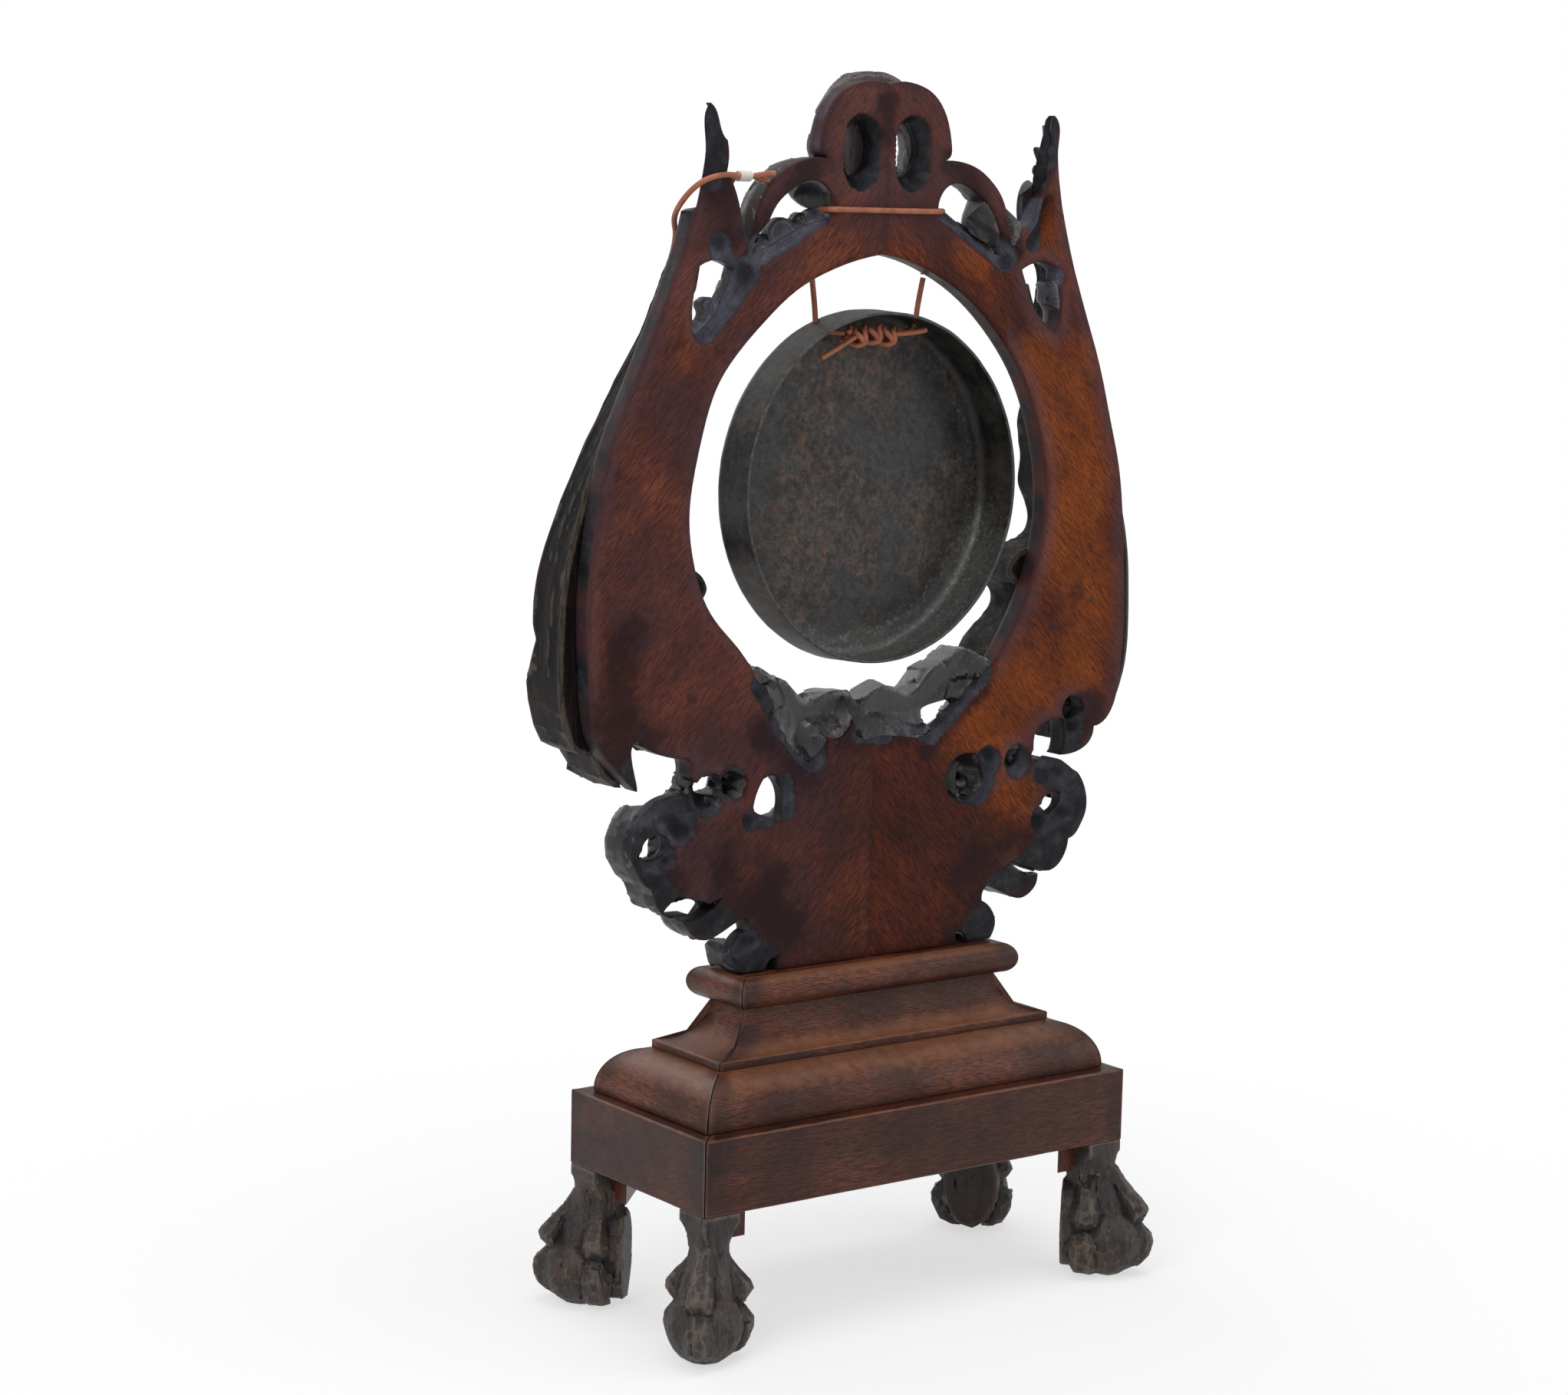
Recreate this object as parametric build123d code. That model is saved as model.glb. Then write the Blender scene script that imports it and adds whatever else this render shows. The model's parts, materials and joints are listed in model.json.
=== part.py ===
"""Carved oak gong stand: a lyre-shaped frame on a moulded plinth with four claw-and-ball feet,
a shallow bronze gong hung on a leather lace, and a padded beater on a leather strap.

Millimetres, +Z up, floor at Z = 0, origin in the middle of the plinth.
The carved front faces -Y, the plain sawn back faces +Y.
"""
from build123d import *
import math
import os

os.makedirs("parts", exist_ok=True)

# ---------------------------------------------------------------- driving dimensions
# plinth
apron_length = 400.0
apron_depth = 176.0
apron_height = 57.0
apron_wall = 18.0
deck_thickness = 18.0
ovolo_length = 378.0
ovolo_depth = 149.0
ovolo_height = 35.7
fillet_length = 315.0
fillet_depth = 87.6
fillet_height = 7.2
scotia_height = 31.6
cap_length = 266.0
cap_depth = 72.0
cap_height = 23.9
cap_nose = 12.0
cap_overhang = 14.0

# feet and their blocks
foot_height = 108.0
foot_pad = 32.0
foot_pad_thickness = 8.0
foot_ankle_width = 29.0
foot_ankle_length = 38.0
foot_ankle_height = 80.0
foot_ball_radius = 28.0
foot_ball_sink = 1.5
foot_setback = 6.0
foot_back = 36.0
foot_heel_width = 46.0
foot_heel_height = 70.0
toe_radius = 12.0
toe_reach = 23.0
side_toe_back = 16.5
side_toe_reach = 20.5
block_size = 40.0
block_drop = 24.0
block_cover = 3.0
dowel_radius = 4.0
dowel_back = 24.7
dowel_length = 58.0

# lyre board
lyre_width = 516.0
lyre_height = 652.0
board_back_y = 15.7
board_thickness = 18.0
tenon_width = 44.0
tenon_thickness = 9.0
tenon_depth = 40.0
tenon_spacing = 96.0
spline_thickness = 4.0
spline_width = 12.0
spline_length = 110.0
spline_level = 75.0
eye_length = 40.0
eye_width = 24.0
eye_spacing = 45.0
blind_eye_depth = 12.0

# carved planks on the front of the board
limb_relief = 46.0
limb_relief_top = 11.0
wave_relief = 38.0
lower_relief = 28.0
crest_relief = 15.0
arch_relief = 11.0
arm_relief = 10.0
horn_relief = 10.0
horn_slant = 0.8

# gong and its lace
gong_radius = 132.0
gong_depth = 39.5
gong_wall = 2.4
gong_corner = 9.0
gong_taper = 1.0
gong_turn = 2.4
gong_offset = 3.0
gong_hole_radius = 3.2
gong_hole_half_spacing = 47.0
gong_hole_inset = 9.5
lace_diameter = 4.2
lace_drop = 33.0
knot_length = 56.0
knot_diameter = 13.0

# beater and its strap
strap_diameter = 4.2
whipping_diameter = 9.6
whipping_length = 12.0
handle_length = 238.0
handle_radius = 6.0
handle_lean = 11.2
handle_tip = 9.0
hang_reach = 31.0
head_radius = 19.0
head_length = 44.0
cover_thickness = 2.5
binding_radius = 1.6
binding_gap = 0.2
head_end = 3.0

# screws that hold the lyre down
screw_radius = 3.0
screw_length = 120.0
screw_head_radius = 6.0
screw_head_height = 4.0

# clearances
fit = 0.2
cord_gap = 0.3
loop_gap = 0.8
screw_fit = 0.05

# ---------------------------------------------------------------- levels and places
apron_z = foot_height
deck_z = apron_z + apron_height
ovolo_z = deck_z
fillet_z = ovolo_z + ovolo_height
neck_z = fillet_z + fillet_height + scotia_height
neck_length = cap_length - 2 * cap_overhang
neck_depth = cap_depth - 2 * cap_overhang
seat_z = neck_z + cap_height
board_front_y = board_back_y - board_thickness
board_mid_y = board_back_y - board_thickness / 2
grid_x = lyre_width / 516.0
grid_z = lyre_height / 652.0


def save(node, shape):
    """Write one sub-part and say how many solids it has."""
    shape.label = node
    export_step(shape, f"parts/{node}.step")
    print(f"{node:24s} solids {len(shape.solids())}  volume {shape.volume / 1000:9.2f} cm3")


# ---------------------------------------------------------------- plinth
def tier_section(half_low, half_high, low, high, form, lip=0.0):
    """One moulding's outline across the plinth, closed, with its two sides mirrored."""
    step = low + lip
    reach = half_low - half_high
    rise = high - step
    if form == "ovolo":
        side = EllipticalCenterArc((half_high, step), reach, rise, 0, arc_size=90)
    elif form == "scotia":
        side = EllipticalCenterArc((half_low, high), reach, rise, 180, arc_size=90)
    else:
        side = EllipticalCenterArc((half_high, (low + high) / 2), reach, rise / 2, -90, arc_size=180)
    corners = [side @ 0, side @ 1]
    corners.sort(key=lambda point: point.Y)
    bottom, top = corners
    edges = [side, mirror(side, Plane.YZ)]
    edges.append(Line((-top.X, top.Y), (top.X, top.Y)))
    if lip:
        edges.append(Polyline((bottom.X, bottom.Y), (half_low, low), (-half_low, low), (-bottom.X, bottom.Y)))
    else:
        edges.append(Line((-bottom.X, bottom.Y), (bottom.X, bottom.Y)))
    return make_face(edges)


def moulding(outer, inner, low, high, form, lip=0.0):
    """Four mitred lengths of one moulding round the plinth, as a dict of side to solid."""
    along = tier_section(outer[0] / 2, inner[0] / 2, low, high, form, lip)
    across = tier_section(outer[1] / 2, inner[1] / 2, low, high, form, lip)
    whole = extrude(Plane.XZ * along, outer[1], both=True) & extrude(Plane.YZ * across, outer[0], both=True)
    ox, oy = outer[0] / 2, outer[1] / 2
    ix, iy = inner[0] / 2, inner[1] / 2
    lengths = {
        "right": [(ix, iy), (ox, oy), (ox, -oy), (ix, -iy)],
        "left": [(-ix, iy), (-ox, oy), (-ox, -oy), (-ix, -iy)],
        "back": [(ix, iy), (ox, oy), (-ox, oy), (-ix, iy)],
        "front": [(ix, -iy), (ox, -oy), (-ox, -oy), (-ix, -iy)],
    }
    pieces = {}
    for side, plan in lengths.items():
        wedge = extrude(Plane.XY.offset(low) * make_face(Polyline(*plan, close=True)), high - low)
        pieces[side] = whole & wedge
    return pieces


def slab(length, depth, low, high):
    """A board centred on the plinth."""
    return Pos(0, 0, (low + high) / 2) * Box(length, depth, high - low)


def apron():
    """Four mitred apron boards."""
    inner = (apron_length - 2 * apron_wall, apron_depth - 2 * apron_wall)
    outer = (apron_length, apron_depth)
    ring = slab(*outer, apron_z, deck_z) - slab(*inner, apron_z, deck_z)
    ox, oy = outer[0] / 2, outer[1] / 2
    ix, iy = inner[0] / 2, inner[1] / 2
    plans = {
        "right": [(ix, iy), (ox, oy), (ox, -oy), (ix, -iy)],
        "left": [(-ix, iy), (-ox, oy), (-ox, -oy), (-ix, -iy)],
        "back": [(ix, iy), (ox, oy), (-ox, oy), (-ix, iy)],
        "front": [(ix, -iy), (ox, -oy), (-ox, -oy), (-ix, -iy)],
    }
    pieces = {}
    for side, plan in plans.items():
        wedge = extrude(Plane.XY.offset(apron_z) * make_face(Polyline(*plan, close=True)), apron_height)
        pieces[side] = ring & wedge
    return pieces


def foot_frame(sx, sy):
    """Place a foot: its local +X points out along the corner's diagonal, origin under the ball."""
    x = sx * (apron_length / 2 - foot_setback)
    y = sy * (apron_depth / 2 - foot_setback)
    return Location((x, y, 0), (0, 0, math.degrees(math.atan2(sy, sx))))


def ball(place, radius):
    """A ball whose seam and poles lie clear of the joints with its neighbours."""
    return Pos(*place) * Rot(17, 31, 53) * Sphere(radius)


def bead(points, radii):
    """A chain of balls joined by slimmer rods, for a toe."""
    chain = ball(points[0], radii[0])
    for start, end, radius in zip(points, points[1:], radii[1:]):
        rod_path = Line(start, end)
        rod = extrude(Plane(origin=start, z_dir=rod_path % 0) * Circle(radius * 0.86), rod_path.length)
        chain = chain + rod + ball(end, radius)
    return chain


def toe(x, y, lift):
    """One toe from the ankle over two knuckles to its blunt claw, given its place in plan."""
    ankle = (pad_shift(), 0, foot_ankle_height)
    upper = (x * 0.85, y * 0.96, foot_height * 0.475 + lift)
    lower = (x, y, foot_height * 0.22 + lift)
    claw = (x, y, foot_height * 0.155 + lift)
    return bead([ankle, upper, lower, claw], [toe_radius * 0.8, toe_radius, toe_radius, toe_radius])


def pad_shift():
    """How far behind the ball the middle of the pad lies."""
    return -(foot_pad / 2 - foot_setback) * math.sqrt(2)


def foot():
    """Claw-and-ball foot in its local frame, sawn flat behind, with a square pad under the apron's corner."""
    pad_plan = Pos(pad_shift(), 0) * Rot(0, 0, 45) * Rectangle(foot_pad, foot_pad)
    pad_low = Plane.XY.offset(foot_height - foot_pad_thickness) * pad_plan
    ankle_plan = Pos(pad_shift(), 0) * Ellipse(foot_ankle_length / 2, foot_ankle_width / 2)
    ankle = Plane.XY.offset(foot_ankle_height) * ankle_plan
    instep_plan = Pos(pad_shift() / 2, 0) * Ellipse(foot_ankle_length * 0.62, foot_ankle_width * 0.72)
    instep = Plane.XY.offset(foot_ball_radius * 1.7) * instep_plan
    body = extrude(pad_low, foot_pad_thickness) + loft([pad_low, ankle]) + loft([ankle, instep])
    body += ball((0, 0, foot_ball_radius - foot_ball_sink), foot_ball_radius)
    heel_plane = Plane(origin=(-foot_back, 0, foot_heel_height * 0.56), x_dir=(0, 1, 0), z_dir=(1, 0, 0))
    body += extrude(heel_plane * Ellipse(foot_heel_width / 2, foot_heel_height / 2), foot_back)
    body += toe(toe_reach, 0, toe_radius * 0.4)
    body += toe(-side_toe_back, side_toe_reach, 0)
    body += toe(-side_toe_back, -side_toe_reach, 0)
    reach = 4 * foot_ball_radius
    room = Pos(reach / 2 - foot_back, 0, foot_height / 2) * Box(reach, reach, foot_height)
    return body & room


def corner_block(sx, sy):
    """Block glued inside an apron corner, hanging below it, its inner corner sawn off behind the foot."""
    x = sx * (apron_length / 2 - apron_wall - block_size / 2)
    y = sy * (apron_depth / 2 - apron_wall - block_size / 2)
    low = apron_z - block_drop
    high = deck_z - deck_thickness
    block = Pos(x, y, (low + high) / 2) * Box(block_size, block_size, high - low)
    reach = 4 * block_size
    kept = Pos(reach / 2 - foot_back - block_cover, 0, high / 2) * Box(reach, reach, 2 * high)
    return block & (foot_frame(sx, sy) * kept)


def dowel(sx, sy, radius):
    """Dowel between a foot and its corner block."""
    return foot_frame(sx, sy) * Pos(-dowel_back, 0, apron_z - block_drop) * Cylinder(radius, dowel_length)


def build_plinth():
    """Feet, blocks, apron, deck, mouldings, cores and cap."""
    names = {(1, 1): "back_right", (-1, 1): "back_left", (1, -1): "front_right", (-1, -1): "front_left"}
    blank = foot()
    dowels = []
    for (sx, sy), name in names.items():
        block = corner_block(sx, sy)
        placed = foot_frame(sx, sy) * blank
        save(f"foot_{name}", placed - block - dowel(sx, sy, dowel_radius))
        save(f"corner_block_{name}", block - dowel(sx, sy, dowel_radius))
        dowels.append(dowel(sx, sy, dowel_radius))
    save("foot_dowels", Compound(dowels))

    for side, board in apron().items():
        save(f"apron_{side}", board)
    holes = screw_holes()
    inner = (apron_length - 2 * apron_wall, apron_depth - 2 * apron_wall)
    save("deck_board", slab(*inner, deck_z - deck_thickness, deck_z) - holes)

    ovolo = moulding((ovolo_length, ovolo_depth), (fillet_length, fillet_depth), ovolo_z, fillet_z, "ovolo")
    for side, strip in ovolo.items():
        save(f"ovolo_{side}", strip)
    scotia = moulding((fillet_length, fillet_depth), (neck_length, neck_depth), fillet_z, neck_z, "scotia",
                      fillet_height)
    for side, strip in scotia.items():
        save(f"scotia_{side}", strip)
    core = (cap_length - 2 * cap_nose, cap_depth - 2 * cap_nose)
    nosing = moulding((cap_length, cap_depth), core, neck_z, seat_z, "nosing")
    for side, strip in nosing.items():
        save(f"cap_nosing_{side}", strip)
    save("plinth_core_lower", slab(fillet_length, fillet_depth, ovolo_z, fillet_z) - holes)
    save("plinth_core_upper", slab(neck_length, neck_depth, fillet_z, neck_z) - holes - mortises())
    save("cap_board", slab(*core, neck_z, seat_z) - mortises())
    save("stand_screws", Compound(screws()))


# ---------------------------------------------------------------- fixing of the lyre
def tenon_places():
    """Middle of each tenon, left and right."""
    return [-tenon_spacing / 2, tenon_spacing / 2]


def tenon(x, width, thickness, depth):
    """A stub tenon under the board, or its mortise."""
    return Pos(x, board_mid_y, seat_z - depth / 2) * Box(width, thickness, depth)


def mortises():
    """Both mortises, a little wider and deeper than their tenons."""
    wide, thick, deep = tenon_width + 2 * fit, tenon_thickness + 2 * fit, tenon_depth + fit
    return Compound([tenon(x, wide, thick, deep) for x in tenon_places()])


def screws():
    """Two long screws from under the deck up into the tenons."""
    made = []
    low = deck_z - deck_thickness
    for x in tenon_places():
        shank = Pos(x, board_mid_y, low + screw_length / 2) * Cylinder(screw_radius, screw_length)
        head = Pos(x, board_mid_y, low + screw_head_height / 2) * Cylinder(screw_head_radius, screw_head_height)
        made.append(shank + head)
    return made


def screw_holes():
    """Clearance holes for the two screws, countersunk for their heads."""
    cuts = []
    low = deck_z - deck_thickness
    for x in tenon_places():
        shank = Pos(x, board_mid_y, low + screw_length / 2) * Cylinder(screw_radius + screw_fit, screw_length)
        head = Pos(x, board_mid_y, low) * Cylinder(screw_head_radius + screw_fit, 2 * screw_head_height)
        cuts.append(shank + head)
    return Compound(cuts)


# ---------------------------------------------------------------- outlines of the lyre
# Each outline is a list of runs on the carver's grid: x outward from the centre line, z up from the cap.
# A run of two points is straight, a longer run is one smooth curve, and runs meet in corners.
CREST = [[(0, 655), (10, 657.5), (27, 656), (43, 649), (55, 633.5), (60.5, 614), (60, 604), (56, 601)]]
ARM_OUTER = [[(56, 601), (77, 599), (90, 594), (100, 587), (108, 579), (114, 569), (118, 557), (122, 541)]]
HORN = [
    [(122, 541), (124.5, 538.5), (127, 541)],
    [(127, 541), (131, 556), (138, 578), (145, 589)],
    [(145, 589), (143.5, 600), (145, 611)],
    [(145, 611), (150, 617), (157, 634), (161, 637)],
    [(161, 637), (164, 634), (165, 607), (167, 589), (173, 562)],
]
LIMB_RIGHT = [
    [(173, 562), (182, 532), (200, 488), (225, 432), (242, 392), (252, 342), (258, 292), (258, 257),
     (256, 222), (252, 192), (246, 178), (238, 168)],
    [(238, 168), (226, 156), (214, 146)],
    [(214, 146), (217, 160), (219.5, 171), (218.5, 180), (216, 182), (211, 179)],
    [(211, 179), (196, 172), (187, 169), (172, 167)],
]
LIMB_LEFT = [
    [(173, 562), (182, 532), (197, 492), (215, 447), (229, 402), (240, 362), (246, 312), (250, 257),
     (249, 217), (246, 192), (240, 174), (231, 164), (222, 161.5)],
    [(222, 161.5), (216, 148), (205, 142.5), (184, 141.5)],
    [(184, 141.5), (183, 152), (187, 168.5)],
    [(187, 168.5), (180, 168), (172, 167)],
]
VOLUTE = [
    [(172, 167), (167, 158), (167, 153), (160, 147), (161, 138)],
    [(161, 138), (175, 139.5), (190, 137), (201, 131), (210, 122), (215, 112), (217, 102), (216, 93),
     (211, 83), (205, 75.5), (199, 73)],
]
CLAWS = [
    [(199, 73), (198, 67), (195, 60), (188, 52), (180, 49)],
    [(180, 49), (163, 52), (150, 56.5), (138, 60)],
    [(138, 60), (150, 50.5), (168, 46.5)],
    [(168, 46.5), (167, 40), (161, 33.5), (152, 30), (142, 32), (130, 37.5), (116, 43)],
    [(116, 43), (112.5, 39), (112, 32)],
    [(112, 32), (118, 28.5), (123.5, 22), (126, 15), (125, 8), (121, 1)],
    [(121, 1), (97, 1)],
    [(97, 1), (92, 9), (86, 11)],
    [(86, 11), (86, 0)],
]
OPENING_RIGHT = [
    [(3, 531), (28, 526), (50, 519), (80, 505), (107, 484), (130, 462), (150, 436), (162, 402), (171, 362),
     (172, 332), (167, 306), (156, 278), (142, 260), (125, 243), (110, 225), (95, 213)],
    [(95, 213), (86, 195), (72, 170), (54, 154)],
    [(54, 154), (45, 162), (40, 180), (33, 187)],
    [(33, 187), (22, 187), (12, 172), (0, 167)],
]
OPENING_LEFT = [
    [(3, 531), (-20, 527), (-50, 516), (-80, 499), (-110, 473), (-135, 442), (-152, 407), (-162, 372),
     (-165, 337), (-160, 302), (-147, 267), (-130, 237), (-112, 212), (-88, 188), (-60, 168)],
    [(-60, 168), (-40, 166), (-20, 169), (0, 167)],
]
NECK_WINDOW = [
    [(49.5, 562), (52, 575), (60, 582.5), (70, 584), (80, 581), (90, 575), (100, 566), (107, 554.5), (113, 542),
     (116, 531)],
    [(116, 531), (100, 537), (77, 548.5), (60, 555), (49.5, 557)],
    [(49.5, 557), (49.5, 562)],
]
SIDE_PIERCING = [
    [(133, 520), (144, 525), (155, 526), (171, 519)],
    [(171, 519), (172.5, 498), (171, 478), (167, 473)],
    [(167, 473), (157, 478.5), (143, 497), (133, 520)],
]
LEAF_PIERCING = [
    [(98, 150), (108, 135), (111, 121)],
    [(111, 121), (98, 118), (84, 112)],
    [(84, 112), (79, 125), (83, 140), (98, 150)],
]

# seams where the front planks butt together
LIMB_SEAM = [[(172, 167), (150, 185), (122, 205)]]
WAVE_SEAM = [[(122, 205), (92, 166), (50, 146), (0, 140)]]

# front planks
LIMB_LEAF = [
    [(168, 556), (172, 540), (180, 522), (196, 490), (222, 432), (240, 392), (254, 352), (263, 322),
     (269, 290), (271, 257), (271.5, 228), (270, 210), (266, 194), (258, 178), (250, 173), (242, 172)],
    [(242, 172), (235.5, 159), (223, 147)],
    [(223, 147), (210, 146)],
    [(210, 146), (209, 159), (214, 172), (211, 176)],
    [(211, 176), (196, 173), (187, 170), (172, 167)],
]
LIMB_INNER = [
    [(122, 205), (126, 214)],
    [(126, 214), (132, 227), (144, 240), (152, 246), (161, 257)],
    [(161, 257), (161, 265), (154, 274), (146, 281), (143, 288)],
    [(143, 288), (148, 297), (158, 303), (180, 306), (196, 316)],
    [(196, 316), (197, 330), (187, 350), (188, 373), (182, 394), (182, 416)],
    [(182, 416), (174, 424), (163, 452), (150, 466)],
    [(150, 466), (170, 469), (178, 482), (178, 497), (176, 512), (171, 525)],
    [(171, 525), (158, 535), (149, 545), (146, 556)],
]
HORN_LEAF = [
    [(146, 557), (137, 566)],
    [(137, 566), (142, 571), (135, 578)],
    [(135, 578), (142, 583), (137, 591)],
    [(137, 591), (146, 596), (143, 605)],
    [(143, 605), (149, 611), (159, 630)],
    [(159, 630), (163, 600), (165, 580), (169, 557)],
    [(169, 557), (146, 557)],
]
ARM_FRONT = [[(62, 600), (77, 599), (90, 594), (100, 587), (108, 579), (114, 569), (118, 557), (122, 541)]]
ARM_INNER = [[(116, 534), (113, 545), (106, 558), (99, 568), (89, 577), (79, 583), (69, 586), (59, 586)]]
ARCH_LEAF = [
    [(58, 552), (66, 561), (75, 555)],
    [(75, 555), (85, 555), (93, 543)],
    [(93, 543), (103, 545), (112, 533)],
    [(112, 533), (124, 530), (131, 520)],
    [(131, 520), (140, 500), (149, 483), (147, 468)],
    [(147, 468), (139, 459), (130, 466), (107, 488), (80, 509), (58, 519)],
    [(58, 519), (58, 552)],
]
CREST_FRONT = [
    [(0, 664.5), (12, 664), (24, 659.5), (34, 652), (43, 641), (51, 620), (53.5, 611), (52, 602)],
    [(52, 602), (48, 592), (46, 578), (45, 560)],
    [(45, 560), (42, 546), (22, 537), (0, 534)],
]
HORN_EDGE = [[(173, 562), (167, 589), (165, 607), (164, 634), (161, 637)]]
WAVE_TOP = [
    [(0, 189), (14, 203), (27, 205), (40, 200)],
    [(40, 200), (54, 200), (66, 212), (83, 218)],
    [(83, 218), (95, 227), (107, 228), (115, 221), (119, 211)],
    [(119, 211), (122, 205)],
]


# ovals cut through the board and through the lower planks: grid x, grid z, width, height
EYE_LEVEL = 608
BOARD_PIERCINGS = [(150, 141, 27, 26), (127, 143, 20, 20), (196, 103, 26, 20), (-141, 143, 17, 17),
                   (-93, 131, 44, 38), (-199, 177, 22, 18), (-182, 103, 24, 18)]
LOWER_PIERCINGS = [(190, 103, 22, 17), (-190, 103, 22, 17), (90, 130, 16, 24), (140, 143, 9, 8),
                   (-103, 128, 12, 18)]


def at(x, z):
    """A point of the carver's grid on the lyre's face plane."""
    return (x * grid_x, seat_z + z * grid_z)


def edges_of(runs, side=1):
    """Turn runs into edges, mirrored across the centre line when side is -1."""
    edges = []
    for run in runs:
        points = [at(side * x, z) for x, z in run]
        edges.append(Line(*points) if len(points) == 2 else Spline(*points))
    return edges


def plank(edges, front_y, back_y):
    """A flat plank of one outline between two depths."""
    face = Plane.XZ.offset(-back_y) * make_face(edges)
    return extrude(face, back_y - front_y)


def cutter(edges):
    """The same outline as a cut that runs well past both faces of the lyre."""
    return plank(edges, -3 * limb_relief, 3 * limb_relief)


def oval(x, z, width, height, front_y, back_y):
    """An oval cut at a grid point, sized on the grid as well."""
    px, pz = at(x, z)
    face = Plane.XZ.offset(-back_y) * Pos(px, pz) * Ellipse(width * grid_x / 2, height * grid_z / 2)
    return extrude(face, back_y - front_y)


def through(x, z, width, height):
    """An oval cut right through the lyre."""
    return oval(x, z, width, height, -3 * limb_relief, 3 * limb_relief)


# ---------------------------------------------------------------- lyre
def board_halves():
    """The two halves of the flat board, with every opening cut."""
    outline = edges_of(CREST + ARM_OUTER + HORN + LIMB_RIGHT + VOLUTE + CLAWS)
    outline += edges_of(CREST + ARM_OUTER + HORN + LIMB_LEFT + VOLUTE + CLAWS, -1)
    outline.append(Line(at(-86, 0), at(86, 0)))
    board = plank(outline, board_front_y, board_back_y)
    board -= cutter(edges_of(OPENING_RIGHT + OPENING_LEFT))
    for side in (1, -1):
        board -= cutter(edges_of(NECK_WINDOW, side))
        board -= cutter(edges_of(SIDE_PIERCING, side))
        board -= horn_bevel(side)
    board -= cutter(edges_of(LEAF_PIERCING))
    for x, z, width, height in BOARD_PIERCINGS:
        board -= through(x, z, width, height)
    board -= through(-eye_spacing / 2, EYE_LEVEL, eye_width, eye_length)
    eye_floor = board_back_y - blind_eye_depth
    board -= oval(eye_spacing / 2, EYE_LEVEL, eye_width, eye_length, eye_floor, board_back_y)
    board += Compound([tenon(x, tenon_width, tenon_thickness, tenon_depth) for x in tenon_places()])
    board -= screw_holes()
    seam = Pos(0, board_mid_y, at(0, spline_level)[1]) * Box(spline_width, spline_thickness, spline_length)
    board -= seam
    save("seam_spline", seam)
    reach = lyre_width
    for side, name in ((1, "board_right"), (-1, "board_left")):
        half = Pos(side * reach / 2, board_mid_y, seat_z + lyre_height / 2) * Box(reach, reach, 2 * lyre_height)
        save(name, board & half)


def horn_bevel(side):
    """The wood outside a horn's slanting outer edge, which runs inwards as it comes forward."""
    low, high = HORN_EDGE[0][0][1], HORN_EDGE[0][-1][1]
    inner = HORN_EDGE[0][-1][0]
    outer = 1.4 * inner
    top = high + 20
    room = edges_of(HORN_EDGE, side)
    rim = [at(side * inner, high), at(side * inner, top), at(side * outer, top), at(side * outer, low),
           at(side * HORN_EDGE[0][0][0], low)]
    room.append(Polyline(*rim))
    face = Plane.XZ.offset(-board_back_y) * make_face(room)
    run = 2 * board_thickness
    return extrude(face, run, dir=(-side * horn_slant, -1, 0))


def lean_cut(side):
    """The room in front of a limb's sloping face, which thins towards the horn."""
    low = at(0, 380)[1]
    high = at(0, 556)[1]
    deep = board_front_y - limb_relief
    thin = board_front_y - limb_relief_top
    past = high + (high - low)
    far = thin + (thin - deep)
    front = deep - limb_relief
    wedge = Polyline((deep, low), (far, past), (front, past), (front, low), close=True)
    reach = side * lyre_width / 2
    return Pos(reach, 0, 0) * extrude(Plane.YZ * make_face(wedge), lyre_width / 2, both=True)


def shoulder_cut(side):
    """The room outside a limb's shoulder, a plane that falls back towards the horn."""
    high_x, high_z = at(side * 218, 450)
    low_x, low_z = at(side * 266, 240)
    high = Vector(high_x, board_front_y - 2, high_z)
    low = Vector(low_x, board_front_y - limb_relief + 2, low_z)
    across = Vector(-side, -1, 0)
    normal = across.cross(high - low).normalized()
    if normal.X * side < 0:
        normal = -normal
    reach = lyre_height
    plane = Plane(origin=high, x_dir=across, z_dir=normal)
    return plane * Pos(0, 0, reach / 2) * Box(2 * reach, 2 * reach, reach)


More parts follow.
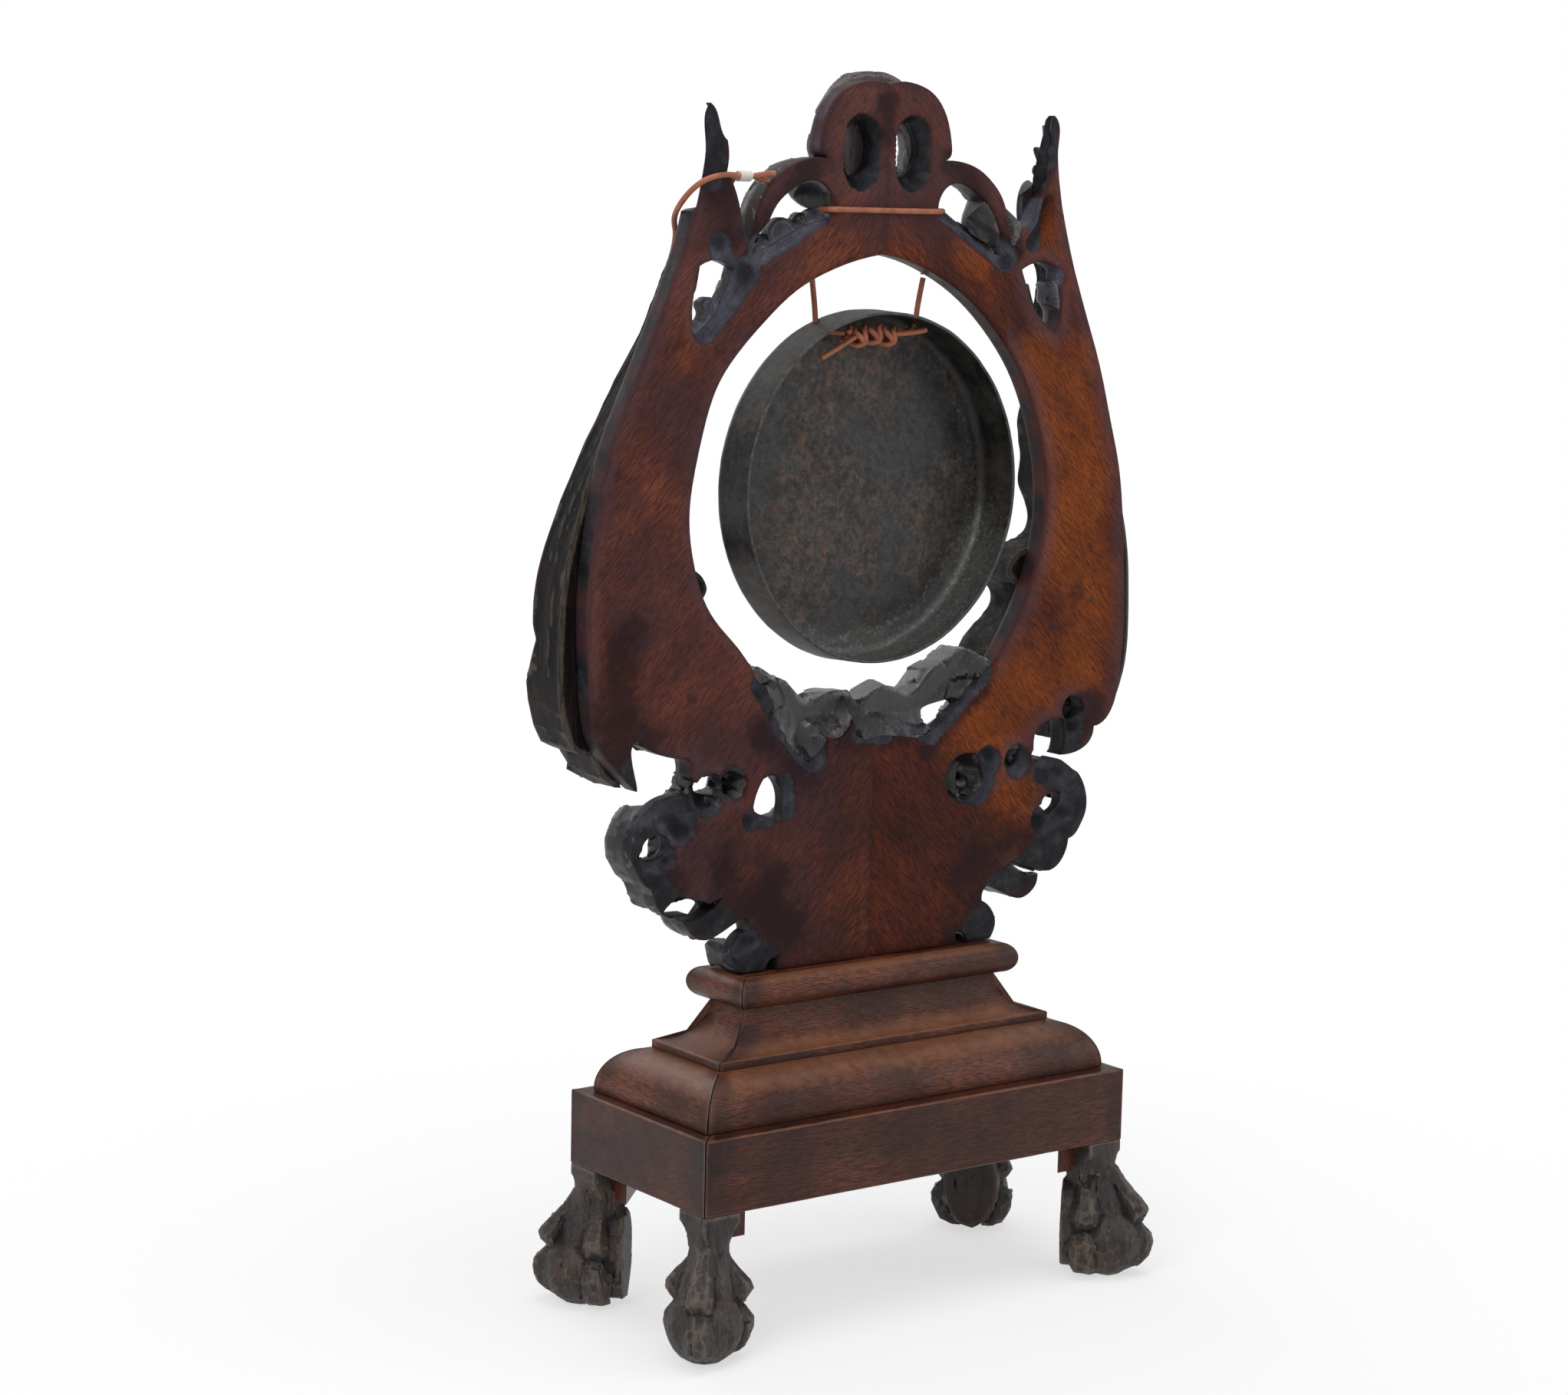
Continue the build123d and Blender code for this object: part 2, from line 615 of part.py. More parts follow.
def front_planks():
    """Every carved plank glued to the front of the board."""
    top = at(0, 556)[1]
    for side, name in ((1, "right"), (-1, "left")):
        edges = edges_of(LIMB_LEAF + LIMB_SEAM + LIMB_INNER, side)
        edges.append(Line((side * 146 * grid_x, top), (side * 168 * grid_x, top)))
        limb = plank(edges, board_front_y - limb_relief, board_front_y)
        save(f"limb_carving_{name}", limb - lean_cut(side) - shoulder_cut(side))

        leaf = plank(edges_of(HORN_LEAF, side), board_front_y - horn_relief, board_front_y)
        save(f"horn_leaf_{name}", leaf - horn_bevel(side))

        edges = edges_of(ARM_FRONT + ARM_INNER, side)
        edges.append(Line(at(side * 122, 541), at(side * 116, 534)))
        edges.append(Line(at(side * 62, 600), at(side * 59, 586)))
        save(f"arm_carving_{name}", plank(edges, board_front_y - arm_relief, board_front_y))

        leaf = plank(edges_of(ARCH_LEAF, side), board_front_y - arch_relief, board_front_y)
        save(f"arch_carving_{name}", leaf)

        edges = edges_of(WAVE_SEAM + LIMB_SEAM + VOLUTE + CLAWS, side)
        edges.append(Line(at(side * 86, 0), at(0, 0)))
        edges.append(Line(at(0, 0), at(0, 140)))
        lower = plank(edges, board_front_y - lower_relief, board_front_y)
        for x, z, width, height in LOWER_PIERCINGS:
            if x * side > 0:
                lower -= through(x, z, width, height)
        save(f"lower_carving_{name}", lower)

    edges = edges_of(CREST_FRONT) + edges_of(CREST_FRONT, -1)
    crest = plank(edges, board_front_y - crest_relief, board_front_y)
    crest -= through(-25, EYE_LEVEL, eye_width * 0.6, eye_length * 0.8)
    save("crest_carving", crest)

    edges = edges_of(WAVE_TOP + WAVE_SEAM) + edges_of(WAVE_TOP + WAVE_SEAM, -1)
    wave = plank(edges, board_front_y - wave_relief, board_front_y)
    for side in (1, -1):
        wave -= through(side * 88, 181, 16, 20)
    save("wave_carving", wave)


# ---------------------------------------------------------------- cords
def tube(name, points, radii, diameter):
    """A round cord of straight runs joined by tangent arcs."""
    path = FilletPolyline(*points, radius=radii) if radii else Line(*points)
    solid = sweep(Plane(origin=path @ 0, z_dir=path % 0) * Circle(diameter / 2), path=path)
    expected = math.pi * diameter * diameter / 4 * path.length
    print(f"{name}: length {path.length:.1f}, radii {[round(r, 1) for r in radii]}, "
          f"volume ratio {solid.volume / expected:.4f}")
    return solid


def arc_radii(points):
    """The largest tangent arc that each corner's two runs allow."""
    radii = []
    for before, corner, after in zip(points, points[1:], points[2:]):
        arriving = Vector(*corner) - Vector(*before)
        leaving = Vector(*after) - Vector(*corner)
        turn = math.radians(arriving.get_angle(leaving))
        radii.append(0.45 * min(arriving.length, leaving.length) / math.tan(turn / 2))
    return radii


# ---------------------------------------------------------------- gong and lace
lace_radius = lace_diameter / 2
lace_y = board_front_y - lace_radius - loop_gap
pivot_z = at(0, 513.5)[1]
gong_hole_rise = math.sqrt((gong_radius - gong_wall / 2) ** 2 - gong_hole_half_spacing ** 2)
gong_z = pivot_z - lace_drop - gong_hole_rise
knot_y = gong_hole_inset + 11
knot_z = gong_hole_rise - lace_diameter * 1.7


def gong_point(x, y, z):
    """A point given from the middle of the gong's struck face, turned with the gong about the lace."""
    turn = math.radians(gong_turn)
    depth = y - gong_hole_inset
    turned_x = x * math.cos(turn) - depth * math.sin(turn)
    turned_y = x * math.sin(turn) + depth * math.cos(turn)
    return (gong_offset + turned_x, lace_y + turned_y, gong_z + z)


def gong():
    """The beaten pan: a flat face, a rounded corner and a rim open to the back, with two lace holes."""
    outer = Polyline((0, 0), (gong_radius, 0), (gong_radius - gong_taper, gong_depth), (0, gong_depth))
    inner_radius = gong_radius - gong_wall
    inner = Polyline((0, gong_wall), (inner_radius, gong_wall), (inner_radius - gong_taper, gong_depth),
                     (0, gong_depth))
    solid_outer = make_face([outer, Line((0, gong_depth), (0, 0))])
    solid_inner = make_face([inner, Line((0, gong_depth), (0, gong_wall))])
    outer_corner = solid_outer.vertices().sort_by_distance((gong_radius, 0, 0))[0]
    inner_corner = solid_inner.vertices().sort_by_distance((inner_radius, gong_wall, 0))[0]
    profile = fillet(outer_corner, gong_corner) - fillet(inner_corner, gong_corner - gong_wall)
    pan = revolve(profile, Axis.Y)
    for side in (1, -1):
        place = Pos(side * gong_hole_half_spacing, gong_hole_inset, gong_radius)
        pan -= place * Cylinder(gong_hole_radius, gong_radius / 2)
    moved = Pos(gong_offset, lace_y, gong_z) * Rot(0, 0, gong_turn) * Pos(0, -gong_hole_inset, 0)
    return moved * pan


def lace():
    """The neck loop on the stand, and the two drops, the knot and its ends on the gong."""
    loop_z = at(0, 563.5)[1]
    loop_x = NECK_WINDOW[0][0][0] * grid_x + lace_radius + loop_gap
    loop_y = board_back_y + lace_radius + loop_gap
    end_z = pivot_z + lace_radius + cord_gap
    points = [(loop_x, lace_y, end_z), (loop_x, lace_y, loop_z), (loop_x, loop_y, loop_z),
              (-loop_x, loop_y, loop_z), (-loop_x, lace_y, loop_z), (-loop_x, lace_y, end_z)]
    bend = lace_diameter * 1.05
    save("lace_neck_loop", tube("lace_neck_loop", points, [bend] * 4, lace_diameter))

    centre = gong_point(0, knot_y, knot_z)
    core = Cylinder(knot_diameter / 2, knot_length - knot_diameter)
    for end in (1, -1):
        core += Pos(0, 0, end * (knot_length - knot_diameter) / 2) * Sphere(knot_diameter / 2)
    knot = Pos(*centre) * Rot(0, 0, gong_turn) * Rot(0, 90, 0) * core
    save("lace_knot", knot)

    for side, name in ((1, "right"), (-1, "left")):
        top = (side * loop_x, lace_y, pivot_z)
        hole = gong_point(side * gong_hole_half_spacing, gong_hole_inset, gong_hole_rise)
        inside = gong_point(side * gong_hole_half_spacing * 0.98, gong_hole_inset + 1,
                            gong_hole_rise - lace_diameter * 1.4)
        meet = gong_point(side * knot_length / 2, knot_y, knot_z)
        points = [top, hole, inside, meet]
        drop = tube(f"lace_drop_{name}", points, [lace_diameter * 1.5, lace_diameter * 0.75], lace_diameter)
        save(f"lace_drop_{name}", drop + ball(top, lace_radius * 0.96) - knot)

    long_end = [gong_point(0.30 * knot_length, knot_y + 2, knot_z - 2),
                gong_point(0.60 * knot_length, knot_y + 7, knot_z - 8),
                gong_point(1.02 * knot_length, knot_y + 9, knot_z - 18)]
    short_end = [gong_point(-0.30 * knot_length, knot_y + 2, knot_z - 1),
                 gong_point(-0.60 * knot_length, knot_y + 7, knot_z - 3),
                 gong_point(-0.80 * knot_length, knot_y + 9, knot_z - 2)]
    ends = [tube(f"lace_ends {index}", points, [lace_diameter * 2], lace_diameter)
            for index, points in enumerate((long_end, short_end))]
    save("lace_ends", Compound([end - knot for end in ends]))


# ---------------------------------------------------------------- beater
def strap_points():
    """The strap's route from the whipping over the limb's flat top, down to the beater and back."""
    lift = strap_diameter / 2 + cord_gap
    back_y = board_back_y + lift
    hang = hang_point()
    half = handle_radius + 2 * strap_diameter
    route = [
        (134, back_y - 4, 586), (141, back_y, 587), (154, back_y, 587), (163, back_y, 584),
        (171, back_y, 579), (174.5, back_y - 8, 575), (175.5, 3, 572), (171, -9, 569.5), (166.5, -17.5, 561),
        (159, -24, 542),
    ]
    home = [(131, -24, 545), (129, -17, 560), (128, -8, 574), (130, 3, 583), (134, back_y - 9.5, 586)]
    loop = [
        (hang[0] + half + 1, hang[1] + 3, hang[2] + 14), (hang[0] + half, hang[1], hang[2]),
        (hang[0] - half, hang[1], hang[2]), (hang[0] - half - 1, hang[1] + 3, hang[2] + 14),
    ]
    placed = [(at(x, z)[0], y, at(x, z)[1]) for x, y, z in route]
    return placed + loop + [(at(x, z)[0], y, at(x, z)[1]) for x, y, z in home]


def hang_point():
    """Where the strap passes through the beater's handle."""
    x, z = at(150, 498)
    return (x, board_front_y - hang_reach, z)


def build_beater():
    """The strap and whipping on the stand, and the beater that swings on the strap."""
    points = strap_points()
    radii = arc_radii(points)
    strap = tube("beater_strap", points, radii, strap_diameter)
    save("beater_strap", strap)
    start = points[0]
    end = points[-1]
    middle = tuple((a + b) / 2 for a, b in zip(start, end))
    place = Pos(middle[0] - whipping_length / 2, middle[1], middle[2]) * Rot(0, 90, 0)
    tails = []
    for y, z, length in ((start[1], start[2], 17.0), (end[1], end[2] + 1.5, 15.0)):
        tail_x = middle[0] - whipping_length - length / 2
        tails.append(Pos(tail_x, y, z) * Rot(0, 90, 0) * Cylinder(strap_diameter / 2, length))
    save("strap_tails", Compound(tails))
    whipping = place * Cylinder(whipping_diameter / 2, whipping_length)
    save("strap_whipping", whipping - strap - Compound(tails))

    hang = hang_point()
    frame = Pos(*hang) * Rot(-handle_lean, 0, 0)
    shaft_low = -(handle_length - handle_tip)
    low_radius = handle_radius * 0.75
    handle = Pos(0, 0, (handle_tip + shaft_low) / 2) * Cone(low_radius, handle_radius, handle_length)
    handle += Pos(0, 0, handle_tip) * Sphere(handle_radius)
    handle -= Rot(0, 90, 0) * Cylinder(strap_diameter / 2 + cord_gap, 4 * handle_radius)
    head_z = shaft_low + head_length / 2 - head_end
    core = Cylinder(head_radius, head_length)
    core = Pos(0, 0, head_z) * fillet(core.edges().filter_by(GeomType.CIRCLE), head_radius * 0.55)
    shell = Cylinder(head_radius + cover_thickness, head_length + 2 * cover_thickness)
    shell = fillet(shell.edges().filter_by(GeomType.CIRCLE), head_radius * 0.55 + cover_thickness)
    save("beater_handle", frame * handle)
    save("beater_head", frame * (core - handle))
    save("beater_cover", frame * (Pos(0, 0, head_z) * shell - core - handle))
    bind_z = head_z + head_length / 2 + cover_thickness + binding_radius + binding_gap
    bind_radius = low_radius + (handle_radius - low_radius) * (bind_z - shaft_low) / handle_length
    ring = Torus(bind_radius + binding_gap + binding_radius, binding_radius)
    save("beater_binding", frame * Pos(0, 0, bind_z) * ring)


build_plinth()
board_halves()
front_planks()
save("gong_pan", gong())
lace()
build_beater()
print(f"hinge of the gong: y {lace_y:.2f}, z {pivot_z:.2f}; middle of the gong z {gong_z:.2f}")
print(f"hinge of the beater: {[round(value, 2) for value in hang_point()]}")
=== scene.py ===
"""The looks of a tam tam gong on its carved oak stand.

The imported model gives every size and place. Each sub-assembly is a class that builds its own skins
and dresses them: the studio, the leather, the lyre board, its carved planks, the plinth, the feet, the
gong and the beater. Lengths are metres, +Z is up, the plain back faces +Y and the carved front -Y.
"""
import json
import logging
import math
from collections.abc import Callable, Sequence
from dataclasses import dataclass, field
from enum import Enum

import bpy
import numpy as np
from mathutils import Matrix, Vector
from mathutils.geometry import delaunay_2d_cdt


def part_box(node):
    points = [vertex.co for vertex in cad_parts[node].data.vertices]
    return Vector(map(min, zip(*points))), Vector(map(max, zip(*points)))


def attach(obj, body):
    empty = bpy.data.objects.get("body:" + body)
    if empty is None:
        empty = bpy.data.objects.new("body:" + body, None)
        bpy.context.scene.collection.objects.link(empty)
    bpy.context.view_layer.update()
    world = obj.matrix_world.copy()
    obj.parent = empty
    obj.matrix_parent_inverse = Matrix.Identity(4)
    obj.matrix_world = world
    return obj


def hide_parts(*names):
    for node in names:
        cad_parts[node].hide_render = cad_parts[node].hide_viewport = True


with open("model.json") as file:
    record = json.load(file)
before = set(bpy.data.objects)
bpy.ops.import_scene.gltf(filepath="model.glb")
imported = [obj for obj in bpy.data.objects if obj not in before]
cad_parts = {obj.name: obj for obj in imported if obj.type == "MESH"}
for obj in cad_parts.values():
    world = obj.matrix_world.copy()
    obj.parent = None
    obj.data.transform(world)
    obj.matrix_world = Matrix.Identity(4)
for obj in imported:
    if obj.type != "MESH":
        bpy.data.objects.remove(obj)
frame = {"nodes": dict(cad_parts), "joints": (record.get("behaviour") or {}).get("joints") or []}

log = logging.getLogger("gong")
MM = 0.001  # metres in a millimetre
LACE = 0.0042  # the leather's thickness in metres
CHUNK = 4000  # rows worked on at once, to save memory
Point = tuple[float, float, float]


# ---------------------------------------------------------------- shader arithmetic
def tone(code: str) -> tuple[float, float, float, float]:
    """Turn a written colour into the light values that a shader takes.

    Args:
        code: six hexadecimal digits, red, green and blue.

    Returns:
        Linear red, green and blue, with an opaque alpha.
    """
    parts = [int(code[i:i + 2], 16) / 255 for i in (0, 2, 4)]
    return tuple(c / 12.92 if c <= 0.04045 else ((c + 0.055) / 1.055) ** 2.4 for c in parts) + (1.0,)


class Wire:
    """One output of a material's tree that can be used in sums."""

    def __init__(self, kit: "Kit", socket: bpy.types.NodeSocket) -> None:
        """Keep the tree's kit and the socket."""
        self.kit = kit
        self.socket = socket

    def _sum(self, operation: str, first: object, second: object) -> "Wire":
        """Add one Math node for values, or one Vector Math node for colours and vectors."""
        flat = self.socket.type == "VALUE"
        kind = "ShaderNodeMath" if flat else "ShaderNodeVectorMath"
        inputs = {0: first, 1: second}
        if not flat:
            inputs = {key: (value,) * 3 if isinstance(value, (int, float)) else value
                      for key, value in inputs.items()}
        return self.kit.node(kind, {"operation": operation}, inputs)

    def __add__(self, other: object) -> "Wire":
        """Add."""
        return self._sum("ADD", self, other)

    def __radd__(self, other: object) -> "Wire":
        """Add to a number."""
        return self._sum("ADD", other, self)

    def __sub__(self, other: object) -> "Wire":
        """Take away."""
        return self._sum("SUBTRACT", self, other)

    def __rsub__(self, other: object) -> "Wire":
        """Take from a number."""
        return self._sum("SUBTRACT", other, self)

    def __mul__(self, other: object) -> "Wire":
        """Multiply."""
        return self._sum("MULTIPLY", self, other)

    def __rmul__(self, other: object) -> "Wire":
        """Multiply a number."""
        return self._sum("MULTIPLY", other, self)

    def clip(self) -> "Wire":
        """Hold a value between 0 and 1."""
        return self.kit.node("ShaderNodeClamp", {}, {0: self})

    def step(self, low: float, high: float) -> "Wire":
        """Rise smoothly from 0 at low to 1 at high.

        Args:
            low: the value that gives 0.
            high: the value that gives 1, above or below low.

        Returns:
            The eased value.
        """
        settings = {"interpolation_type": "SMOOTHSTEP"}
        return self.kit.node("ShaderNodeMapRange", settings, {0: self, 1: low, 2: high, 3: 0.0, 4: 1.0})


class Kit:
    """One material, or the world's light, and the means to lay out its nodes."""

    def __init__(self, owner: bpy.types.Material | bpy.types.World) -> None:
        """Empty the node tree of what it is given."""
        owner.use_nodes = True
        self.owner = owner
        self.tree = owner.node_tree
        self.tree.nodes.clear()

    @classmethod
    def named(cls, name: str) -> "Kit":
        """Start a new material."""
        return cls(bpy.data.materials.new(name))

    def node(self, kind: str, settings: dict[str, object], inputs: dict[int | str, object],
             output: int | str = 0) -> Wire:
        """Add one node.

        Args:
            kind: the node's type.
            settings: its own settings, set first; "stops" fills a colour ramp.
            inputs: values, wires or written colours by socket name or number.
            output: the output that is wanted.

        Returns:
            That output as a wire.
        """
        made = self.tree.nodes.new(kind)
        for key, value in settings.items():
            if key == "stops":
                self._stops(made.color_ramp, value)
            else:
                setattr(made, key, value)
        for key, value in inputs.items():
            if isinstance(value, Wire):
                self.tree.links.new(value.socket, made.inputs[key])
            else:
                made.inputs[key].default_value = tone(value) if isinstance(value, str) else value
        return Wire(self, made.outputs[output])

    def _stops(self, ramp: bpy.types.ColorRamp, stops: Sequence[tuple[float, str]]) -> None:
        """Fill a colour ramp with (place, written colour) pairs."""
        while len(ramp.elements) < len(stops):
            ramp.elements.new(1.0)
        for element, (place, colour) in zip(ramp.elements, stops):
            element.position = place
            element.color = tone(colour)

    def place(self, turn: Point = (0.0, 0.0, 0.0), scale: Point = (1.0, 1.0, 1.0)) -> Wire:
        """Give the place on the piece, turned and then stretched.

        Args:
            turn: turn about X, Y and Z in radians.
            scale: stretch of each turned axis.

        Returns:
            The place as a vector.
        """
        spot = self.node("ShaderNodeTexCoord", {}, {}, "Object")
        turned = self.node("ShaderNodeMapping", {}, {"Vector": spot, "Rotation": turn})
        return turned * scale

    def noise(self, where: Wire, scale: float, detail: float = 2.0, rough: float = 0.5,
              warp: float = 0.0) -> Wire:
        """Add soft noise of a number of hills to the metre."""
        inputs = {"Vector": where, "Scale": scale, "Detail": detail, "Roughness": rough, "Distortion": warp}
        return self.node("ShaderNodeTexNoise", {}, inputs)

    def value(self, name: str) -> Wire:
        """Read a value that the piece's points carry."""
        return self.node("ShaderNodeAttribute", {"attribute_name": name}, {}, "Fac")

    def ramp(self, value: Wire, stops: Sequence[tuple[float, str]]) -> Wire:
        """Turn a value into a colour by a ramp."""
        return self.node("ShaderNodeValToRGB", {"stops": stops}, {0: value})

    def mix(self, first: object, second: object, share: object) -> Wire:
        """Mix two colours.

        Args:
            first: the colour at share 0.
            second: the colour at share 1.
            share: how much of the second.

        Returns:
            The mixed colour.
        """
        return self.node("ShaderNodeMix", {"data_type": "RGBA"}, {0: share, 6: first, 7: second}, 2)

    def bump(self, height: Wire, depth: float, strength: float) -> Wire:
        """Turn a height from 0 to 1 into a normal, as deep as depth in metres."""
        return self.node("ShaderNodeBump", {}, {"Height": height, "Distance": depth, "Strength": strength})

    def seen(self, gloss: float) -> Wire:
        """Give 1 to what the camera sees, straight or through glass, and a share to what gloss mirrors."""
        camera, mirror, through = (self.node("ShaderNodeLightPath", {}, {}, f"Is {kind} Ray")
                                   for kind in ("Camera", "Glossy", "Transmission"))
        return (camera + mirror * gloss + through).clip()

    def blend(self, share: Wire, first: Wire, second: Wire, output: str = "Material") -> None:
        """Mix two shaders and lead the result to the tree's output."""
        mixed = self.node("ShaderNodeMixShader", {}, {0: share, 1: first, 2: second})
        self.end(mixed, output)

    def end(self, shader: Wire, output: str = "Material") -> None:
        """Lead a shader to the tree's output."""
        out = self.tree.nodes.new(f"ShaderNodeOutput{output}")
        self.tree.links.new(shader.socket, out.inputs["Surface"])

    def close(self, base: object, rough: object, normal: Wire, metal: object = 0.0,
              uniform: dict[str, object] | None = None) -> bpy.types.Material:
        """Close the material with one shader.

        Args:
            base: its colour.
            rough: its roughness.
            normal: its normal.
            metal: how metallic it is.
            uniform: numbers for other sockets, the same all over.

        Returns:
            The finished material.
        """
        inputs = {"Base Color": base, "Roughness": rough, "Metallic": metal, "Normal": normal}
        inputs.update(uniform or {})
        self.end(self.node("ShaderNodeBsdfPrincipled", {}, inputs))
        return self.owner


# ---------------------------------------------------------------- finishes
class Grain(Enum):
    """Which way a board's grain runs, as the turn that stands it upright."""

    UPRIGHT = (0.0, 0.0, 0.0)
    ALONG_X = (0.0, -math.pi / 2, 0.0)
    ALONG_Y = (math.pi / 2, 0.0, 0.0)
    LEANS_LEFT = (0.0, math.radians(43.0), 0.0)
    LEANS_RIGHT = (0.0, math.radians(-43.0), 0.0)


@dataclass(frozen=True)
class OakFinish:
    """Stained and oiled oak: short fine strokes of grain over warm and dark patches.

    A piece's points may carry values from 0 to 1: "char" where it is cut to black wood, "smoke" where it
    darkens towards that, "blue", a painted bluish-grey sheen on shaved slopes, "warm" where
    it glows orange, "edge", a painted greyish sheen near its outline, "worn" where it is
    rubbed and on the plinth also a painted highlight on upward faces, and "hollow", a painted shade in deep
    places.
    """

    name: str
    grain: Grain
    dark: str = "29110d"
    mid: str = "4a2013"
    light: str = "7c3b1b"
    haze: str = "331519"
    glow: str = "8f4614"
    rubbed: str = "6b4433"
    coarse: float = 34.0
    streak: float = 0.40
    haze_share: float = 0.6
    rough: float = 0.48
    shine: float = 0.10

    def make(self) -> bpy.types.Material:
        """Lay out the wood: patches, strokes and pores, then a painted edge sheen, wear with painted
        highlight, smoke, charcoal, a painted slope sheen and painted shade.

        Returns:
            The material.
        """
        kit = Kit.named(self.name)
        spot = kit.place()
        fibre = kit.place(self.grain.value, (1.0, 1.0, 0.06))
        long_fibre = kit.place(self.grain.value, (1.0, 1.0, 0.03))
        patch = kit.noise(kit.place(self.grain.value, (1.0, 1.0, self.streak)), self.coarse, 2.0, 0.5, 0.1)
        cloud = kit.noise(spot, 11.0, 3.0, 0.55)
        stroke = kit.noise(fibre, 2200.0, 2.0, 0.6)
        pore = kit.noise(long_fibre, 3000.0, 2.0, 0.6)
        shade = (patch * 0.36 + cloud * 0.36 + stroke * 0.36 - 0.04 - kit.value("low") * 0.06).clip()
        wood = kit.ramp(shade, [(0.32, self.dark), (0.50, self.mid), (0.72, self.light)])
        wood = kit.mix(wood, self.haze, cloud.step(0.60, 0.36) * self.haze_share)
        glow = (kit.value("warm") * (patch * 1.4 + 0.1)).clip()
        wood = kit.mix(wood, self.glow, glow * 0.75)
        wood = wood * kit.mix("ffffff", "5c4a46", (1.0 - stroke).step(0.42, 0.62) * 0.70)
        wood = kit.mix(wood, "100605", pore.step(0.57, 0.68) * 0.60)
        # Painted sheen: a greyish tint where the points carry "edge".
        wood = kit.mix(wood, "574046", kit.value("edge") * 0.45)
        scuff = kit.noise(spot, 120.0, 4.0, 0.65)
        clean = (1.0 - kit.value("char") * 3.0).clip()
        # Lighter rubbed colour: wear on the arrises, and on the plinth also a painted highlight on upward
        # faces.
        wood = kit.mix(wood, self.rubbed, (kit.value("worn") * 1.3 + scuff - 0.95).clip() * 0.7 * clean)
        fray = kit.noise(kit.place(self.grain.value, (1.0, 1.0, 0.06)), 900.0, 3.0, 0.6)
        smoke = (kit.value("smoke") * 1.10 + fray * 0.35 - 0.27).clip()
        wood = kit.mix(wood, "1b0d10", smoke * 0.80)
        soot = kit.noise(spot, 60.0, 5.0, 0.65)
        black = kit.ramp(soot, [(0.32, "121214"), (0.52, "222125"), (0.74, "3b393e")])
        # Painted bluish-grey sheen on the charcoal of the shaved slopes.
        slope = kit.ramp(soot * 0.6 + fray * 0.4,
                         [(0.34, "2b2a31"), (0.52, "45444e"), (0.70, "63626c")])
        black = kit.mix(black, slope, kit.value("blue"))
        # Painted shade: near black in the deep places.
        black = kit.mix(black, "060607", kit.value("hollow") * 0.6)
        char = (kit.value("char") * 1.9 + fray * 0.5 - 0.60).clip()
        colour = kit.mix(wood, black, char)
        uneven = kit.noise(spot, 70.0, 3.0, 0.6)
        rough = uneven * 0.26 + (self.rough - 0.13) + kit.value("hollow") * 0.12 - char * 0.08
        height = stroke * 0.6 - pore.step(0.56, 0.72) * 0.4
        normal = kit.bump(height, 0.00022, 0.55)
        return kit.close(colour, rough, normal, 0.0, {"Specular IOR Level": self.shine})


@dataclass(frozen=True)
class CarvedFinish:
    """Black carved oak: painted shade in the hollows, grey and brown on the rubbed ridges (on the waves also
    a painted highlight), a satin sheen.
    """

    name: str
    deep: str = "0f0f11"
    body: str = "1d1c1f"
    pale: str = "38363a"
    ridge: str = "6a645e"
    brown: str = "3a241c"
    brown_share: float = 0.25
    stretch: float = 0.30
    rough: float = 0.42
    shine: float = 0.55

    def make(self) -> bpy.types.Material:
        """Lay out the carved wood: soot, brown patches, upright striations, pale ridges and painted shade in
        the hollows.

        Returns:
            The material.
        """
        kit = Kit.named(self.name)
        spot = kit.place()
        fibre = kit.place(scale=(1.0, 1.0, self.stretch))
        soot = kit.noise(fibre, 70.0, 5.0, 0.68)
        grain = kit.noise(kit.place(scale=(1.0, 1.0, 0.10)), 520.0, 3.0, 0.65)
        colour = kit.ramp(soot * 0.65 + grain * 0.35,
                          [(0.32, self.deep), (0.50, self.body), (0.70, self.pale)])
        cloud = kit.noise(spot, 24.0, 4.0, 0.6)
        colour = kit.mix(colour, self.brown, cloud.step(0.50, 0.64) * self.brown_share)
        scuff = kit.noise(spot, 150.0, 4.0, 0.7)
        # Pale ridge colour: wear on the arrises, and on the waves also a painted highlight on upward faces.
        rub = (kit.value("worn") * 1.1 + scuff * 1.1 - 1.05).clip()
        colour = kit.mix(colour, self.ridge, rub * 0.62)
        # Painted shade: near black in the deep places.
        colour = kit.mix(colour, "050506", kit.value("hollow") * 0.80)
        crack = kit.noise(kit.place(scale=(1.0, 1.0, 0.12)), 130.0, 2.0, 0.5)
        line = ((crack - 0.5) * (crack - 0.5) * 900.0).step(0.55, 0.0)
        colour = kit.mix(colour, "040404", line * 0.5)
        rough = scuff * 0.30 + (self.rough - 0.15) + kit.value("hollow") * 0.2
        normal = kit.bump(grain * 0.6 + scuff * 0.4 - line * 0.4, 0.0004, 0.6)
        return kit.close(colour, rough, normal, 0.0, {"Specular IOR Level": self.shine})


@dataclass(frozen=True)
class LeatherFinish:
    """Tan leather in soft patches of paler and darker tan, with a fine grain."""

    name: str
    pale: str = "b5714f"
    deep: str = "7c422c"
    rough: float = 0.55

    def make(self) -> bpy.types.Material:
        """Lay out the leather.

        Returns:
            The material.
        """
        kit = Kit.named(self.name)
        spot = kit.place()
        cloud = kit.noise(spot, 90.0, 4.0, 0.6)
        grain = kit.noise(spot, 1500.0, 2.0, 0.6)
        colour = kit.ramp(cloud * 0.75 + grain * 0.25,
                          [(0.32, self.deep), (0.52, "9c5a3d"), (0.72, self.pale)])
        rough = grain * 0.25 + (self.rough - 0.12)
        return kit.close(colour, rough, kit.bump(grain, 0.0002, 0.5))


